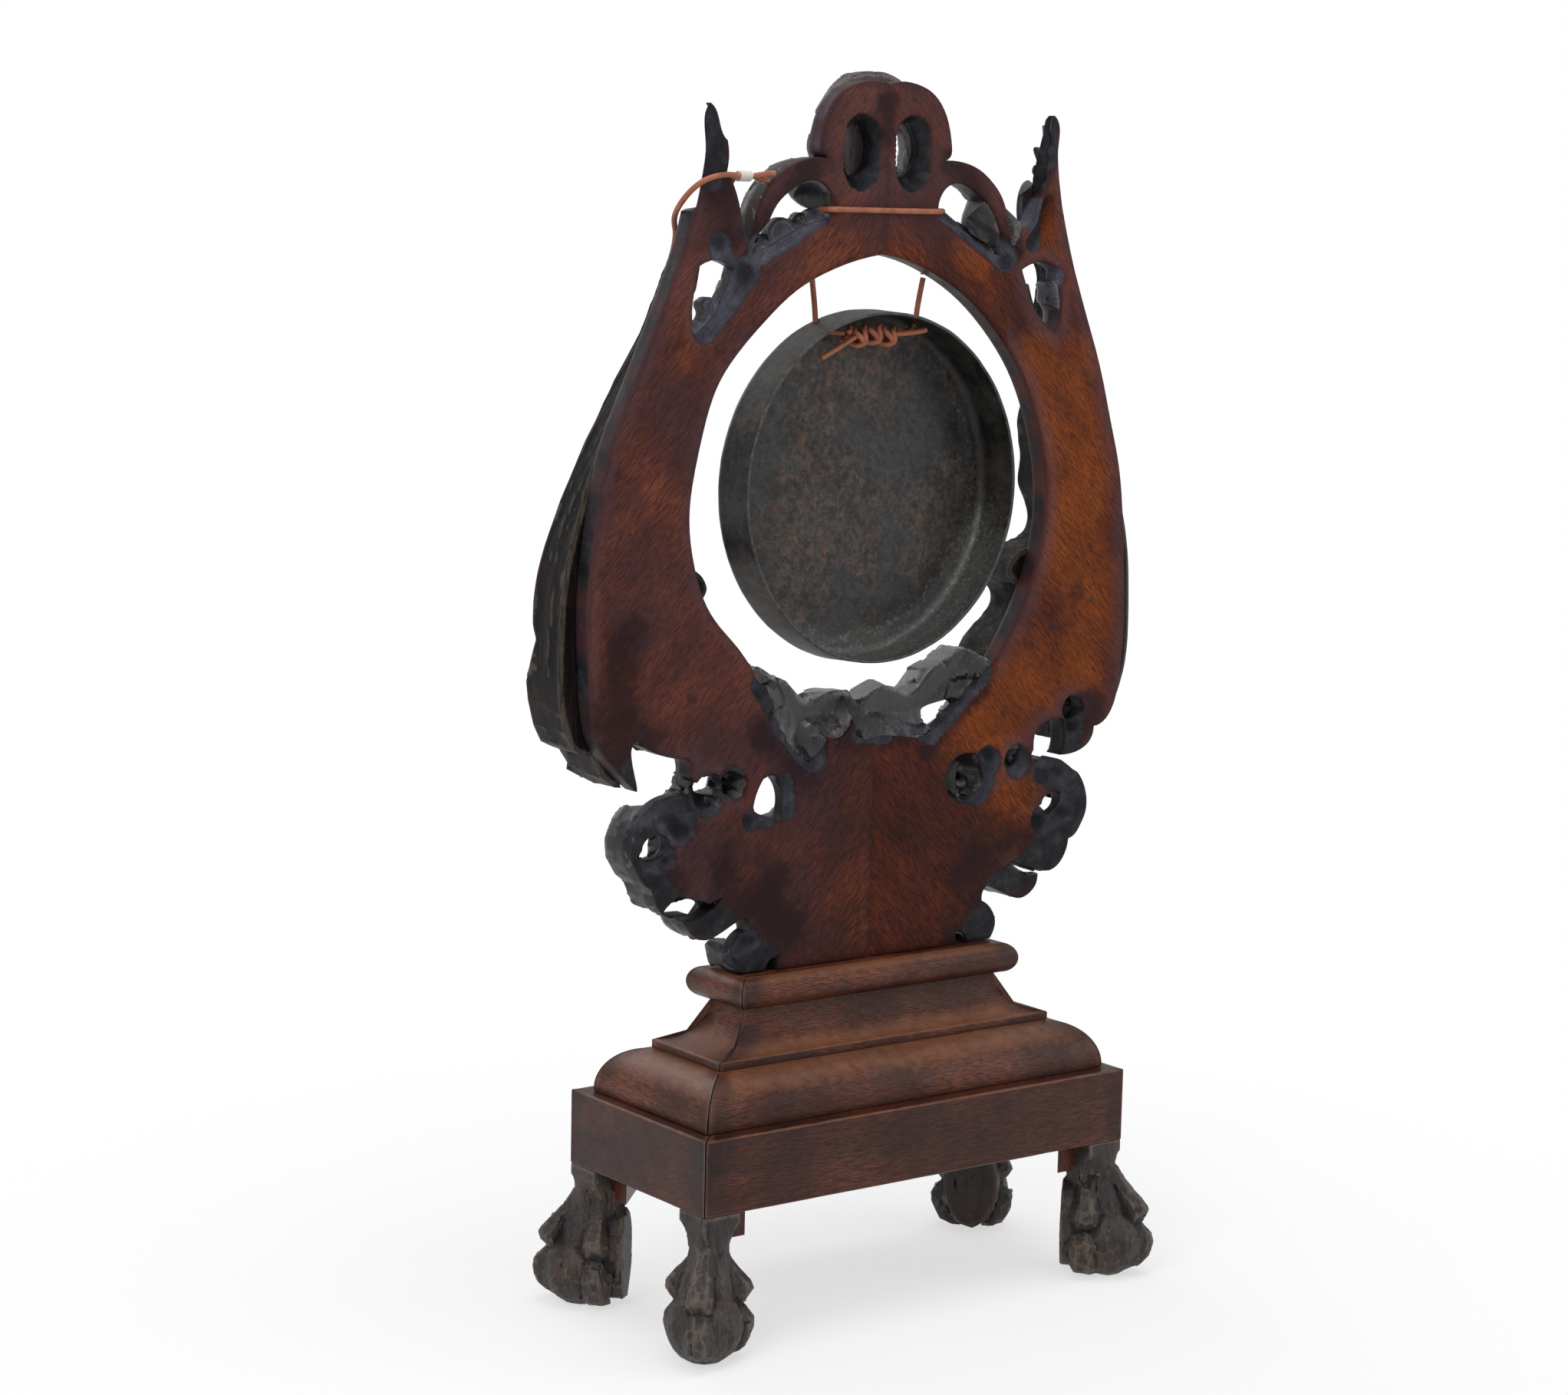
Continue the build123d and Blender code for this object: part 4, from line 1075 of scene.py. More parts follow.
@dataclass
class Strap:
    """The beater's strap over one horn, with its whipping and tails."""

    seat: float = 263.4
    thread: float = 0.0006
    whip_turns: int = 11
    whip_flat: float = 0.78

    def build(self, finishes: Finishes) -> None:
        """Lay the strap, wind the whipping and lay the tails."""
        over = [(134, 14.1, 586), (142, 18.1, 587), (153, 18.3, 586.5), (164, 18.6, 584), (171.5, 17.5, 580),
                (175, 11, 574), (176, 3, 567), (174, -7, 560), (169.5, -16, 553), (161, -24, 542)]
        loop = [(165.4, -30.3, 775.4), (164.4, -33.3, 761.4), (140.6, -33.3, 761.4), (139.6, -30.3, 775.4)]
        back = [(138, -25, 545), (136, -17, 560), (133, -8.5, 573), (131.5, 3, 583), (134, 8.6, 586)]
        over, back = ([(x, y, z + self.seat) for x, y, z in run] for run in (over, back))
        route = over + loop + back
        strap = lay_cord("beater_strap_leather", route, finishes.lace, "stand", ["beater_strap"])
        declare(strap, route[0])
        self._whipping(finishes)
        self._tails(finishes)

    def _whipping(self, finishes: Finishes) -> None:
        """Wind thread round both strands: a helix whose section is a rounded oblong."""
        low, high = (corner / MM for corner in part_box("strap_whipping"))
        middle = (low + high) / 2
        wide = (high.y - low.y) / 2 - self.thread / MM
        tall = wide * self.whip_flat
        angle = np.linspace(0, 2 * math.pi * self.whip_turns, self.whip_turns * 24)
        along = middle.x + np.linspace(-0.5, 0.5, len(angle)) * (high.x - low.x - 2 * self.thread / MM)
        path = np.stack([along, middle.y + wide * np.cos(angle), middle.z + tall * np.sin(angle)], -1)
        turn = np.linspace(0, 2 * math.pi, 32, endpoint=False)
        rows = np.zeros((2, 32, 3))
        rows[:, :, 0] = np.array([low.x + 0.5, high.x - 0.5])[:, None]
        rows[:, :, 1] = middle.y + wide * np.cos(turn) * 0.97
        rows[:, :, 2] = middle.z + tall * np.sin(turn) * 0.97
        skin = join([tube(path * MM, self.thread, 8), closed_rows(rows * MM)])
        make_piece("strap_whipping_thread", skin, "stand", finishes.thread,
                   ["strap_whipping"])

    def _tails(self, finishes: Finishes) -> None:
        """Leave the two cut tails standing out of the whipping."""
        tails = [[(122.5, 14.1, 849.4), (113.0, 14.6, 851.2), (103.0, 14.4, 852.0)],
                 [(122.5, 8.6, 850.9), (114.0, 9.4, 848.6), (105.0, 10.6, 846.2)]]
        for index, route in enumerate(tails):
            lay_cord(f"strap_tail_{index + 1}", route, finishes.lace, "stand",
                     ["strap_tails"] if index == 0 else [])


# ---------------------------------------------------------------- planks cut to an outline
def sides_of(tri: np.ndarray) -> np.ndarray:
    """Give the three sides of every triangle as pairs of point numbers."""
    return np.concatenate([tri[:, [0, 1]], tri[:, [1, 2]], tri[:, [2, 0]]])


def rim_of(tri: np.ndarray) -> np.ndarray:
    """Give the sides that only one triangle uses."""
    ends = sides_of(tri)
    _, first, count = np.unique(np.sort(ends, axis=1), axis=0, return_index=True, return_counts=True)
    return ends[first[count == 1]]


def triangulate(points: np.ndarray, edges: np.ndarray) -> tuple[np.ndarray, np.ndarray, list[list[int]]]:
    """Lay points and edges into one plan of triangles.

    Args:
        points: places in the plan.
        edges: pairs of point numbers that have to be sides.

    Returns:
        The plan's points, its triangles, and the given points that each of its points stands for.
    """
    result = delaunay_2d_cdt([Vector(p) for p in points.tolist()], edges.tolist(), [], 0, 1e-7)
    return np.array([tuple(v) for v in result[0]]), np.array(result[2], np.int64), result[3]


class Outline:
    """A closed outline in X and Z, cut into short steps, that runs clockwise round what it encloses."""

    step = 0.0016
    cut_corner = 0.22

    def __init__(self, starts: np.ndarray, stops: np.ndarray) -> None:
        """Keep where each edge starts and stops, and divide them."""
        self.starts, self.stops = starts, stops
        self._divide()

    @classmethod
    def of_node(cls, node: str) -> "Outline":
        """Read the outline of a node's flat back: the edges that only one of its triangles uses."""
        mesh = frame["nodes"][node].data
        points = corners_of(mesh)
        mesh.calc_loop_triangles()
        tri = np.empty(len(mesh.loop_triangles) * 3, np.int64)
        mesh.loop_triangles.foreach_get("vertices", tri)
        tri = tri.reshape(-1, 3)
        normal = np.cross(points[tri[:, 1]] - points[tri[:, 0]], points[tri[:, 2]] - points[tri[:, 0]])
        flat = normal[:, 1] > 0.99 * np.linalg.norm(normal, axis=1)
        level = points[tri[flat]][:, :, 1].max()
        flat &= np.abs(points[tri][:, :, 1] - level).max(1) < 2e-5
        _, merged = np.unique(np.round(points * 1e5), axis=0, return_inverse=True)
        ends = rim_of(merged.ravel()[tri[flat]])
        place = np.zeros((merged.max() + 1, 2))
        place[merged.ravel()] = points[:, [0, 2]]
        return cls(place[ends[:, 0]], place[ends[:, 1]])

    @classmethod
    def of_points(cls, corners: Sequence[tuple[float, float]]) -> "Outline":
        """Round a closed run of corners in millimetres, cutting off each corner twice over."""
        ring = np.array(corners) * MM
        area = (ring[:, 0] * np.roll(ring[:, 1], -1) - ring[:, 1] * np.roll(ring[:, 0], -1)).sum()
        ring = ring[::-1] if area > 0 else ring
        for _ in range(2):
            ahead = np.roll(ring, -1, axis=0)
            near, far = 1.0 - cls.cut_corner, cls.cut_corner
            ring = np.stack([ring * near + ahead * far, ring * far + ahead * near], 1).reshape(-1, 2)
        return cls(ring, np.roll(ring, -1, axis=0))

    def less(self, cuts: Sequence[Sequence[tuple[float, float]]]) -> "Outline":
        """Take other outlines away from this one.

        Formula: all the edges are laid into one plan of triangles; those inside this outline and outside
        every cut are kept, and the edges that only one of them uses are the new outline.

        Args:
            cuts: closed runs of corners in millimetres.

        Returns:
            The outline that is left.
        """
        rings = [Outline.of_points(cut) for cut in cuts]
        if not rings:
            return self
        parts = [self, *rings]
        points = np.concatenate([part.starts for part in parts] + [part.stops for part in parts])
        edges = np.arange(len(points)).reshape(2, -1).T
        made, tri, _ = triangulate(points, edges)
        middle = made[tri].mean(1)
        kept = self.depth(middle) > 0
        for ring in rings:
            kept &= ring.depth(middle) < 0
        ends = rim_of(tri[kept][:, ::-1])
        return Outline(made[ends[:, 0]], made[ends[:, 1]])

    def _divide(self) -> None:
        """Cut each edge into equal steps and give every point its outward side."""
        run = self.stops - self.starts
        length = np.linalg.norm(run, axis=1)
        pieces = np.maximum(1, np.ceil(length / self.step).astype(int))
        which = np.repeat(np.arange(len(pieces)), pieces)
        order = np.arange(len(which)) - np.repeat(np.cumsum(pieces) - pieces, pieces)
        from_ = self.starts[which] + run[which] * (order / pieces[which])[:, None]
        to = self.starts[which] + run[which] * ((order + 1) / pieces[which])[:, None]
        both = np.concatenate([from_, to])
        _, first, merged = np.unique(np.round(both * 1e6), axis=0, return_index=True, return_inverse=True)
        self.points = both[first]
        self.edges = merged.ravel().reshape(2, -1).T
        side = np.stack([-run[:, 1], run[:, 0]], -1) / length[:, None]
        total = np.zeros_like(self.points)
        np.add.at(total, self.edges[:, 0], side[which])
        np.add.at(total, self.edges[:, 1], side[which])
        self.sides = total / np.maximum(np.linalg.norm(total, axis=1, keepdims=True), 1e-9)

    def depth(self, where: np.ndarray) -> np.ndarray:
        """Measure how far inside the outline each place lies.

        Formula: the shortest distance to any edge, negative where a ray to +X crosses an even number.

        Args:
            where: places in X and Z, one to a row.

        Returns:
            Metres inside.
        """
        run = self.stops - self.starts
        square = np.maximum((run ** 2).sum(1), 1e-16)
        result = np.empty(len(where))
        for low in range(0, len(where), CHUNK):
            spot = where[low:low + CHUNK, None]
            gap = spot - self.starts
            share = np.clip((gap * run).sum(2) / square, 0.0, 1.0)
            nearest = np.sqrt(((gap - share[..., None] * run) ** 2).sum(2).min(1))
            above = (self.starts[:, 1] > spot[..., 1]) != (self.stops[:, 1] > spot[..., 1])
            rise = np.where(run[:, 1] == 0, 1e-16, run[:, 1])
            cross = self.starts[:, 0] + run[:, 0] * (spot[..., 1] - self.starts[:, 1]) / rise
            inside = (above & (spot[..., 0] < cross)).sum(1) % 2 == 1
            result[low:low + CHUNK] = np.where(inside, nearest, -nearest)
        return result

    def fill(self, spacing: float, insets: Sequence[float]) -> tuple[np.ndarray, np.ndarray, np.ndarray]:
        """Cover the outline with triangles.

        Args:
            spacing: the grid's spacing inside.
            insets: distances inside the outline at which it is followed by a row of points.

        Returns:
            Points (the outline's own come first), triangles, and the points' depths inside.
        """
        rows = [self.points]
        for inset in insets:
            ring = self.points - self.sides * inset
            rows.append(ring[self.depth(ring) > inset * 0.93])
        low, high = self.points.min(0), self.points.max(0)
        across = np.arange(low[0], high[0], spacing)
        up = np.arange(low[1], high[1], spacing * 0.866)
        grid = np.stack(np.meshgrid(across, up), -1)
        grid[1::2, :, 0] += spacing / 2
        grid = grid.reshape(-1, 2)
        rows.append(grid[self.depth(grid) > max([*insets, 0.0]) + spacing * 0.45])
        points = np.concatenate(rows)
        made, tri, sources = triangulate(points, self.edges)
        origin = np.array([group[0] if group else -1 for group in sources])
        where = np.arange(len(points))
        where[origin[origin >= 0]] = np.nonzero(origin >= 0)[0]
        tri = tri[self.depth(made[tri].mean(1)) > 0]
        order = np.concatenate([where[:len(self.points)],
                                np.setdiff1d(np.arange(len(made)), where[:len(self.points)])])
        back = np.empty(len(made), np.int64)
        back[order] = np.arange(len(made))
        made = made[order]
        inside = np.maximum(self.depth(made), 0.0)
        inside[:len(self.points)] = 0.0
        return made, back[tri], inside


Height = Callable[[np.ndarray, np.ndarray], np.ndarray]


def cut_plank(outline: Outline, back: Height, front: Height, spacing: float, insets: Sequence[float],
              rows: int) -> Skin:
    """Build a plank between two height functions over one outline.

    Formula: the same triangles carry both faces; each face's Y is a function of the place and of its depth
    inside the outline; walls of straight rows join the two along the outline.

    Args:
        outline: the plank's outline.
        back: gives the back face's Y.
        front: gives the front face's Y.
        spacing: the grid's spacing on the faces.
        insets: distances inside the outline of the rows that shape its arrises.
        rows: rows of faces in the walls.

    Returns:
        The closed skin, with "inside" (metres inside the outline) and "side" (0 back, 1 wall, 2 front).
    """
    flat, tri, inside = outline.fill(spacing, insets)
    count, rim = len(flat), len(outline.points)
    y_back, y_front = back(flat, inside), front(flat, inside)
    behind = np.stack([flat[:, 0], y_back, flat[:, 1]], -1)
    before = np.stack([flat[:, 0], y_front, flat[:, 1]], -1)
    share = np.linspace(0, 1, rows + 1)[1:-1, None]
    levels = y_back[:rim] + share * (y_front[:rim] - y_back[:rim])
    wall = np.stack([np.broadcast_to(flat[:rim, 0], levels.shape), levels,
                     np.broadcast_to(flat[:rim, 1], levels.shape)], -1).reshape(-1, 3)
    index = np.vstack([np.arange(rim), np.arange(rim * (rows - 1)).reshape(rows - 1, rim) + 2 * count,
                       np.arange(rim) + count])
    first, second = outline.edges[:, 0], outline.edges[:, 1]
    quads = np.stack([index[:-1][:, first], index[:-1][:, second], index[1:][:, second],
                      index[1:][:, first]], -1).reshape(-1, 4)
    points = np.concatenate([behind, before, wall])
    a, b, c = flat[tri[:, 0]], flat[tri[:, 1]], flat[tri[:, 2]]
    spin = (b[:, 0] - a[:, 0]) * (c[:, 1] - a[:, 1]) - (b[:, 1] - a[:, 1]) * (c[:, 0] - a[:, 0])
    tri = np.where((spin > 0)[:, None], tri[:, ::-1], tri)
    a, b = flat[first], flat[second]
    ahead = np.stack([-(b - a)[:, 1], (b - a)[:, 0]], -1)
    lean = (outline.sides[first] * ahead).sum(1)
    turned = np.tile(lean < 0, rows)
    quads = np.where(turned[:, None], quads, quads[:, ::-1])
    values = {"inside": np.concatenate([inside, inside, np.zeros(len(wall))]),
              "side": np.concatenate([np.zeros(count), np.full(count, 2.0), np.ones(len(wall))])}
    return Skin(points, [tri, tri[:, ::-1] + count, quads], values).outward()


def tool_marks(skin: Skin, across: float, along: float, depth: float, seed: int,
               share: np.ndarray) -> None:
    """Press gouge cups into a skin, along its normals.

    Formula: the cups lie on a plan whose first direction is X and Y together and whose second is Z; each
    point sinks by the depth less its cup's height, times its share.

    Args:
        skin: the surface, changed in place.
        across: a cup's width in metres.
        along: its length upwards in metres.
        depth: its depth in metres.
        seed: which cups.
        share: how much each point takes part.
    """
    points = skin.points
    sway = 0.25 * ripple(points, 0.08, seed + 50)
    cups = gouges((points[:, 0] * 0.75 + points[:, 1]) / across + sway, points[:, 2] / along + sway, seed)
    press = (np.clip(cups, 0.0, 0.6) - 0.6) * depth * share
    skin.points = points + skin.normals() * press[:, None]


def hew(skin: Skin, size: float, share: np.ndarray | float, seed: int) -> Skin:
    """Flatten a skin into the facets that a knife leaves.

    Formula: every point joins the nearest of scattered centres, where a turn of the normal counts as
    distance too; it then moves along its group's mean normal towards the plane through the group's middle.

    Args:
        skin: the surface, changed in place.
        size: a facet's width in metres.
        share: how far the points move, up to 1.
        seed: which facets.

    Returns:
        The same skin.
    """
    points, normals = skin.points, skin.normals()
    dice = np.random.default_rng(seed)
    order = dice.permutation(len(points))
    cells = np.floor(points[order] / size + dice.random(3))
    _, first = np.unique(cells, axis=0, return_index=True)
    traits = np.concatenate([points, normals * size * 0.9], axis=1)
    centres = traits[order[first]]
    weight = (centres ** 2).sum(1)
    group = np.concatenate([np.argmin(weight - 2.0 * traits[low:low + CHUNK] @ centres.T, axis=1)
                            for low in range(0, len(traits), CHUNK)])
    count = np.maximum(np.bincount(group, minlength=len(centres)), 1)[:, None]
    middle = np.stack([np.bincount(group, points[:, i], len(centres)) for i in range(3)], -1) / count
    facing = np.stack([np.bincount(group, normals[:, i], len(centres)) for i in range(3)], -1)
    facing /= np.maximum(np.linalg.norm(facing, axis=1, keepdims=True), 1e-9)
    lift = ((middle[group] - points) * facing[group]).sum(1)
    lift = np.clip(lift, -0.22 * size, 0.22 * size) * share
    skin.points = points + facing[group] * lift[:, None]
    return skin


def rub_and_shade(skin: Skin) -> None:
    """Add "worn" as wear on the arrises, and "hollow", a painted shade in the deep places, from the skin's
    own relief.
    """
    skin.values["worn"] = ease(skin.relief(2), 0.000048, 0.000264)
    skin.values["hollow"] = ease(-skin.relief(24), 0.00021, 0.00175)


@dataclass(frozen=True)
class Scoop:
    """A hollow cut with a gouge: a run between two places, in millimetres, with a reach and a depth."""

    x_start: float
    z_start: float
    x_stop: float
    z_stop: float
    reach: float
    depth: float = 0.0

    def share(self, where: np.ndarray) -> np.ndarray:
        """Give 1 on the run, falling to 0 at its reach, as one less the squared distance over it."""
        start = np.array([self.x_start, self.z_start]) * MM
        run = np.array([self.x_stop, self.z_stop]) * MM - start
        along = np.clip(((where - start) @ run) / max(run @ run, 1e-12), 0.0, 1.0)
        gap = np.linalg.norm(where - start - along[:, None] * run, axis=1)
        return np.clip(1.0 - (gap / (self.reach * MM)) ** 2, 0.0, 1.0)


def scoops_of(*rows: tuple[float, ...]) -> tuple[Scoop, ...]:
    """Make a scoop of each row of its numbers."""
    return tuple(Scoop(*row) for row in rows)


def strongest(marks: Sequence[Scoop], where: np.ndarray) -> np.ndarray:
    """Give the largest share of any of the marks at each place."""
    return np.max([mark.share(where) for mark in marks], axis=0)


WINDOW = ((-108, 448), (-88, 429), (-63, 432), (-56, 447), (-70, 453), (-95, 453))
CUTS: dict[str, tuple[tuple[tuple[float, float], ...], ...]] = {
    "board_right": (
        ((56, 466), (14, 466), (20, 444), (31, 434), (44, 436), (50, 444)),
        ((181, 326), (177, 329), (153, 322), (140, 317), (160, 314), (176, 315), (188, 314), (190, 319)),),
    "board_left": (
        ((-82, 450), (-64, 434), (-49, 438), (-42, 450), (-55, 455), (-75, 455)),
        ((-191, 434), (-191, 402), (-160, 400), (-160, 427), (-176, 434))),
    "lower_carving_right": (
        ((188, 434), (158, 430), (154, 418), (159, 409), (165, 400), (172, 394), (184, 392), (200, 393),
         (214, 394), (226, 393), (240, 404), (208, 430)),
        ((70, 410), (54, 396), (62, 379), (82, 373), (97, 378), (101, 384), (97, 402), (86, 413)),
        ((139, 398), (154, 402), (149, 412), (142, 416), (127, 411), (128, 400)),
        ((207, 362), (206, 369), (198, 369), (182, 363), (176, 353), (189, 353), (202, 357)),
        ((172, 321), (165, 326), (150, 320), (135, 314), (141, 306), (149, 304), (164, 309), (190, 306),
         (190, 318)),
        ((132, 292), (116, 304), (101, 299), (96, 288), (97, 280), (118, 286), (140, 280), (145, 290))),
    "lower_carving_left": (
        ((-172, 401), (-166, 392), (-150, 397), (-146, 403), (-151, 409), (-168, 405)),
        ((-222, 360), (-209, 348), (-201, 348), (-184, 353), (-183, 365), (-188, 367), (-203, 365)),
        ((-92, 381), (-109, 376), (-114, 371), (-113, 366), (-96, 371)),
        WINDOW,
        ((-166, 436), (-218, 436), (-218, 400), (-156, 397), (-156, 428))),
    "limb_carving_left": (
        ((-166, 434), (-215, 434), (-215, 404), (-156, 402), (-156, 430)),),
    "limb_carving_right": (
        ((217, 405), (217, 428), (206, 436), (180, 436), (180, 400)),),
    "wave_carving": (WINDOW,),
    "horn_leaf_left": (
        ((-130, 815), (-130, 882), (-164, 882), (-165, 850), (-162, 815)),),
}


@dataclass
class LyreBoard:
    """The flat board in two halves: oiled oak behind, with hollows gouged beside its openings."""

    spacing: float = 0.0024
    arris: float = 0.0013
    seat: float = 0.2634
    thickness: float = 0.018
    horn_low: float = 0.8244
    crest_low: float = 0.815
    crest_half: float = 0.075
    scoops: tuple[Scoop, ...] = scoops_of(
        (104, 480, 84, 456, 12, 5), (84, 454, 60, 429, 15, 7), (60, 432, 55, 422, 13, 6),
        (12, 436, -12, 434, 8, 3.5), (-40, 438, -58, 432, 9, 3.5), (-56, 430, -108, 474, 8.5, 4),
        (150, 404, 152, 398, 14, 5), (130, 411, 132, 409, 12, 4.5), (112, 379, 96, 381, 8.5, 4),
        (83, 404, 80, 385, 9.5, 4), (190, 392, 176, 380, 15, 5), (205, 357, 188, 358, 10, 5),
        (224, 390, 206, 397, 14, 4), (130, 286, 112, 289, 10, 3.5), (186, 410, 182, 398, 12, 4),
        (-143, 404, -144, 401, 13, 4.5), (-114, 404, -104, 384, 14, 6), (-104, 382, -86, 386, 11, 5),
        (-172, 354, -194, 362, 13, 5), (-170, 392, -196, 391, 11, 3.5), (-199, 442, -202, 428, 10, 5)
    )
    eyes: tuple[Scoop, ...] = scoops_of((23.5, 857, 23.5, 880, 17, 9), (-24.5, 857, -24.5, 880, 17, 9))
    slopes: tuple[Scoop, ...] = scoops_of(
        (60, 826, 112, 798, 15, 6), (124, 782, 160, 742, 15, 6), (-62, 826, -118, 792, 13, 5),
        (150, 800, 141, 778, 12, 3.5), (-148, 832, -144, 804, 9, 4), (-152, 784, -170, 778, 8, 3)
    )
    blacks: tuple[Scoop, ...] = scoops_of(
        (214, 392, 230, 374, 24), (234, 372, 222, 346, 24), (214, 342, 194, 328, 20),
        (168, 314, 140, 306, 16), (124, 288, 104, 272, 20), (-188, 392, -210, 382, 20),
        (-214, 374, -208, 348, 22), (-200, 340, -172, 326, 20), (-166, 320, -128, 306, 16),
        (-122, 286, -106, 272, 18), (-200, 436, -196, 408, 15), (-158, 896, -160, 862, 5),
        (218, 424, 206, 408, 14), (160, 900, 158, 850, 14), (186, 400, 170, 392, 14)
    )
    smokes: tuple[Scoop, ...] = scoops_of(
        (206, 398, 234, 378, 44), (236, 384, 214, 344, 42), (204, 338, 186, 322, 42),
        (130, 292, 104, 276, 44), (188, 312, 140, 304, 36), (96, 272, 104, 268, 30),
        (-176, 392, -204, 386, 40), (-210, 384, -206, 350, 36), (-190, 340, -168, 322, 42),
        (-124, 306, -164, 302, 34), (-122, 286, -106, 272, 36), (-96, 272, -104, 268, 30),
        (148, 840, 160, 900, 26), (136, 812, 142, 850, 20), (-150, 840, -156, 890, 14),
        (226, 446, 206, 410, 44), (248, 470, 238, 440, 24), (-212, 440, -205, 412, 26),
        (118, 800, 64, 862, 18), (-118, 800, -64, 862, 18), (0, 904, 0, 880, 14),
        (225, 520, 238, 455, 24), (120, 330, 90, 300, 44), (-120, 340, -100, 300, 40),
        (30, 440, -30, 440, 22), (96, 446, 70, 418, 26), (-50, 424, -104, 468, 16)
    )
    glows: tuple[Scoop, ...] = scoops_of(
        (-104, 440, -150, 470, 46), (-130, 420, -100, 425, 26), (-196, 560, -190, 700, 42),
        (-205, 470, -215, 540, 36), (-150, 372, -120, 360, 24), (160, 770, 178, 720, 12),
        (-75, 797, -90, 788, 16), (-150, 720, -180, 620, 26)
    )

    def __post_init__(self) -> None:
        """Read both halves' outlines."""
        self.outlines = {side: Outline.of_node(f"board_{side}").less(CUTS[f"board_{side}"])
                         for side in ("right", "left")}
        self.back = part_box("board_right")[1].y

    def build(self, finishes: Finishes) -> None:
        """Cut both halves and dress them."""
        for name, material in (("right", finishes.board_right), ("left", finishes.board_left)):
            skin = cut_plank(self.outlines[name], self._back, self._front, self.spacing, (0.0006, 0.0016), 5)
            skin.points = self.pinch(skin.points)
            self._mark(skin)
            make_piece(f"lyre_board_{name}", skin, "stand", material, [f"board_{name}"], 42.0)

    def gap(self, where: np.ndarray) -> np.ndarray:
        """Measure how far outside the board each place lies, negative under it."""
        return -np.maximum(self.outlines["right"].depth(where), self.outlines["left"].depth(where))

    def _back(self, where: np.ndarray, inside: np.ndarray) -> np.ndarray:
        """Give the back face's Y: flat, rounded at the arris, sunk at each scoop and shaved at each slope."""
        seam = np.abs(where[:, 0]) < 0.003
        drop = self._rounded(np.where(seam, self.arris, inside))
        return self.back - drop - self.sunk(where) + 0.00012 * ripple(where, 0.05, 4)

    def sunk(self, where: np.ndarray) -> np.ndarray:
        """Give how deep the back is cut at each place: the deepest of its cuts, with a gouge's cups in it."""
        cut, shaved = (np.max([mark.share(where) * mark.depth * MM for mark in marks], axis=0) * 1.5
                       for marks in (self.scoops + self.eyes, self.slopes))
        cups = np.clip(gouges(where[:, 0] / 0.010, where[:, 1] / 0.013, 12), 0.0, 0.5)
        cut = cut * (1.0 + 0.12 * ripple(where, 0.012, 3)) + (0.5 - cups) * 0.0030 * ease(cut, 0.0, 0.0015)
        return np.minimum(np.maximum(cut, shaved), self.thickness - 0.003)

    def _front(self, where: np.ndarray, inside: np.ndarray) -> np.ndarray:
        """Give the front face's Y: the plain flat that the planks are glued to."""
        return self.back - self.thickness + self._rounded(inside)

    def _rounded(self, inside: np.ndarray) -> np.ndarray:
        """Give how far a face falls back at the arris, a quarter round of the distance inside the outline."""
        left = np.maximum(self.arris - inside, 0.0)
        return self.arris - np.sqrt(np.maximum(self.arris ** 2 - left ** 2, 0.0))

    def pinch(self, points: np.ndarray) -> np.ndarray:
        """Slope each horn's outer edge inwards as it comes forward, and slim the left horn's inner edge.

        Formula: above the horn's foot, the width between its inner and outer edges shrinks by 0.8 of the
        way forward from the back face, the inner edge keeping its place. On the left the inner edge then
        moves out by up to 9 mm at its middle heights.

        Args:
            points: placed points.

        Returns:
            The moved points.
        """
        levels = self.seat + np.array([541, 556, 578, 589, 600, 611, 617, 634, 637]) * MM
        inner = np.array([127, 131, 138, 145, 143.5, 145, 150, 157, 160]) * MM
        outer_levels = self.seat + np.array([562, 589, 607, 634, 637]) * MM
        outer = np.array([173, 167, 165, 164, 161.2]) * MM
        side = np.sign(points[:, 0])
        reach, z = np.abs(points[:, 0]), points[:, 2]
        left, right = np.interp(z, levels, inner), np.interp(z, outer_levels, outer)
        width = np.maximum(right - left, 1e-5)
        thin = 0.55 * ease(z, 0.838, 0.902) * (reach > left - 0.004)
        moved = points.copy()
        moved[:, 1] += thin * np.maximum(self.back - points[:, 1], 0.0)
        forward = np.maximum(self.back - moved[:, 1], 0.0)
        shift = np.minimum(0.8 * forward, 0.88 * width) * ease(z, self.horn_low, self.horn_low + 0.003)
        share = np.clip((reach - left) / width, 0.0, 1.3) * (reach > left - 0.004) * (z > self.horn_low)
        moved[:, 0] -= side * share * shift
        heights = self.seat + np.array([542, 556, 578, 589, 604, 615, 626, 637]) * MM
        slim = np.interp(z, heights, np.array([0, 11, 13, 11, 14, 10, 4, 0]) * MM)
        slim = slim + np.minimum(forward, 0.018) * 0.33 * ease(z, 0.826, 0.846)
        slim = slim * (1.0 - np.clip((reach - left) / width, 0.0, 1.0)) * (side < 0) * (reach > left - 0.004)
        moved[:, 0] -= slim * (z > heights[0])
        return moved

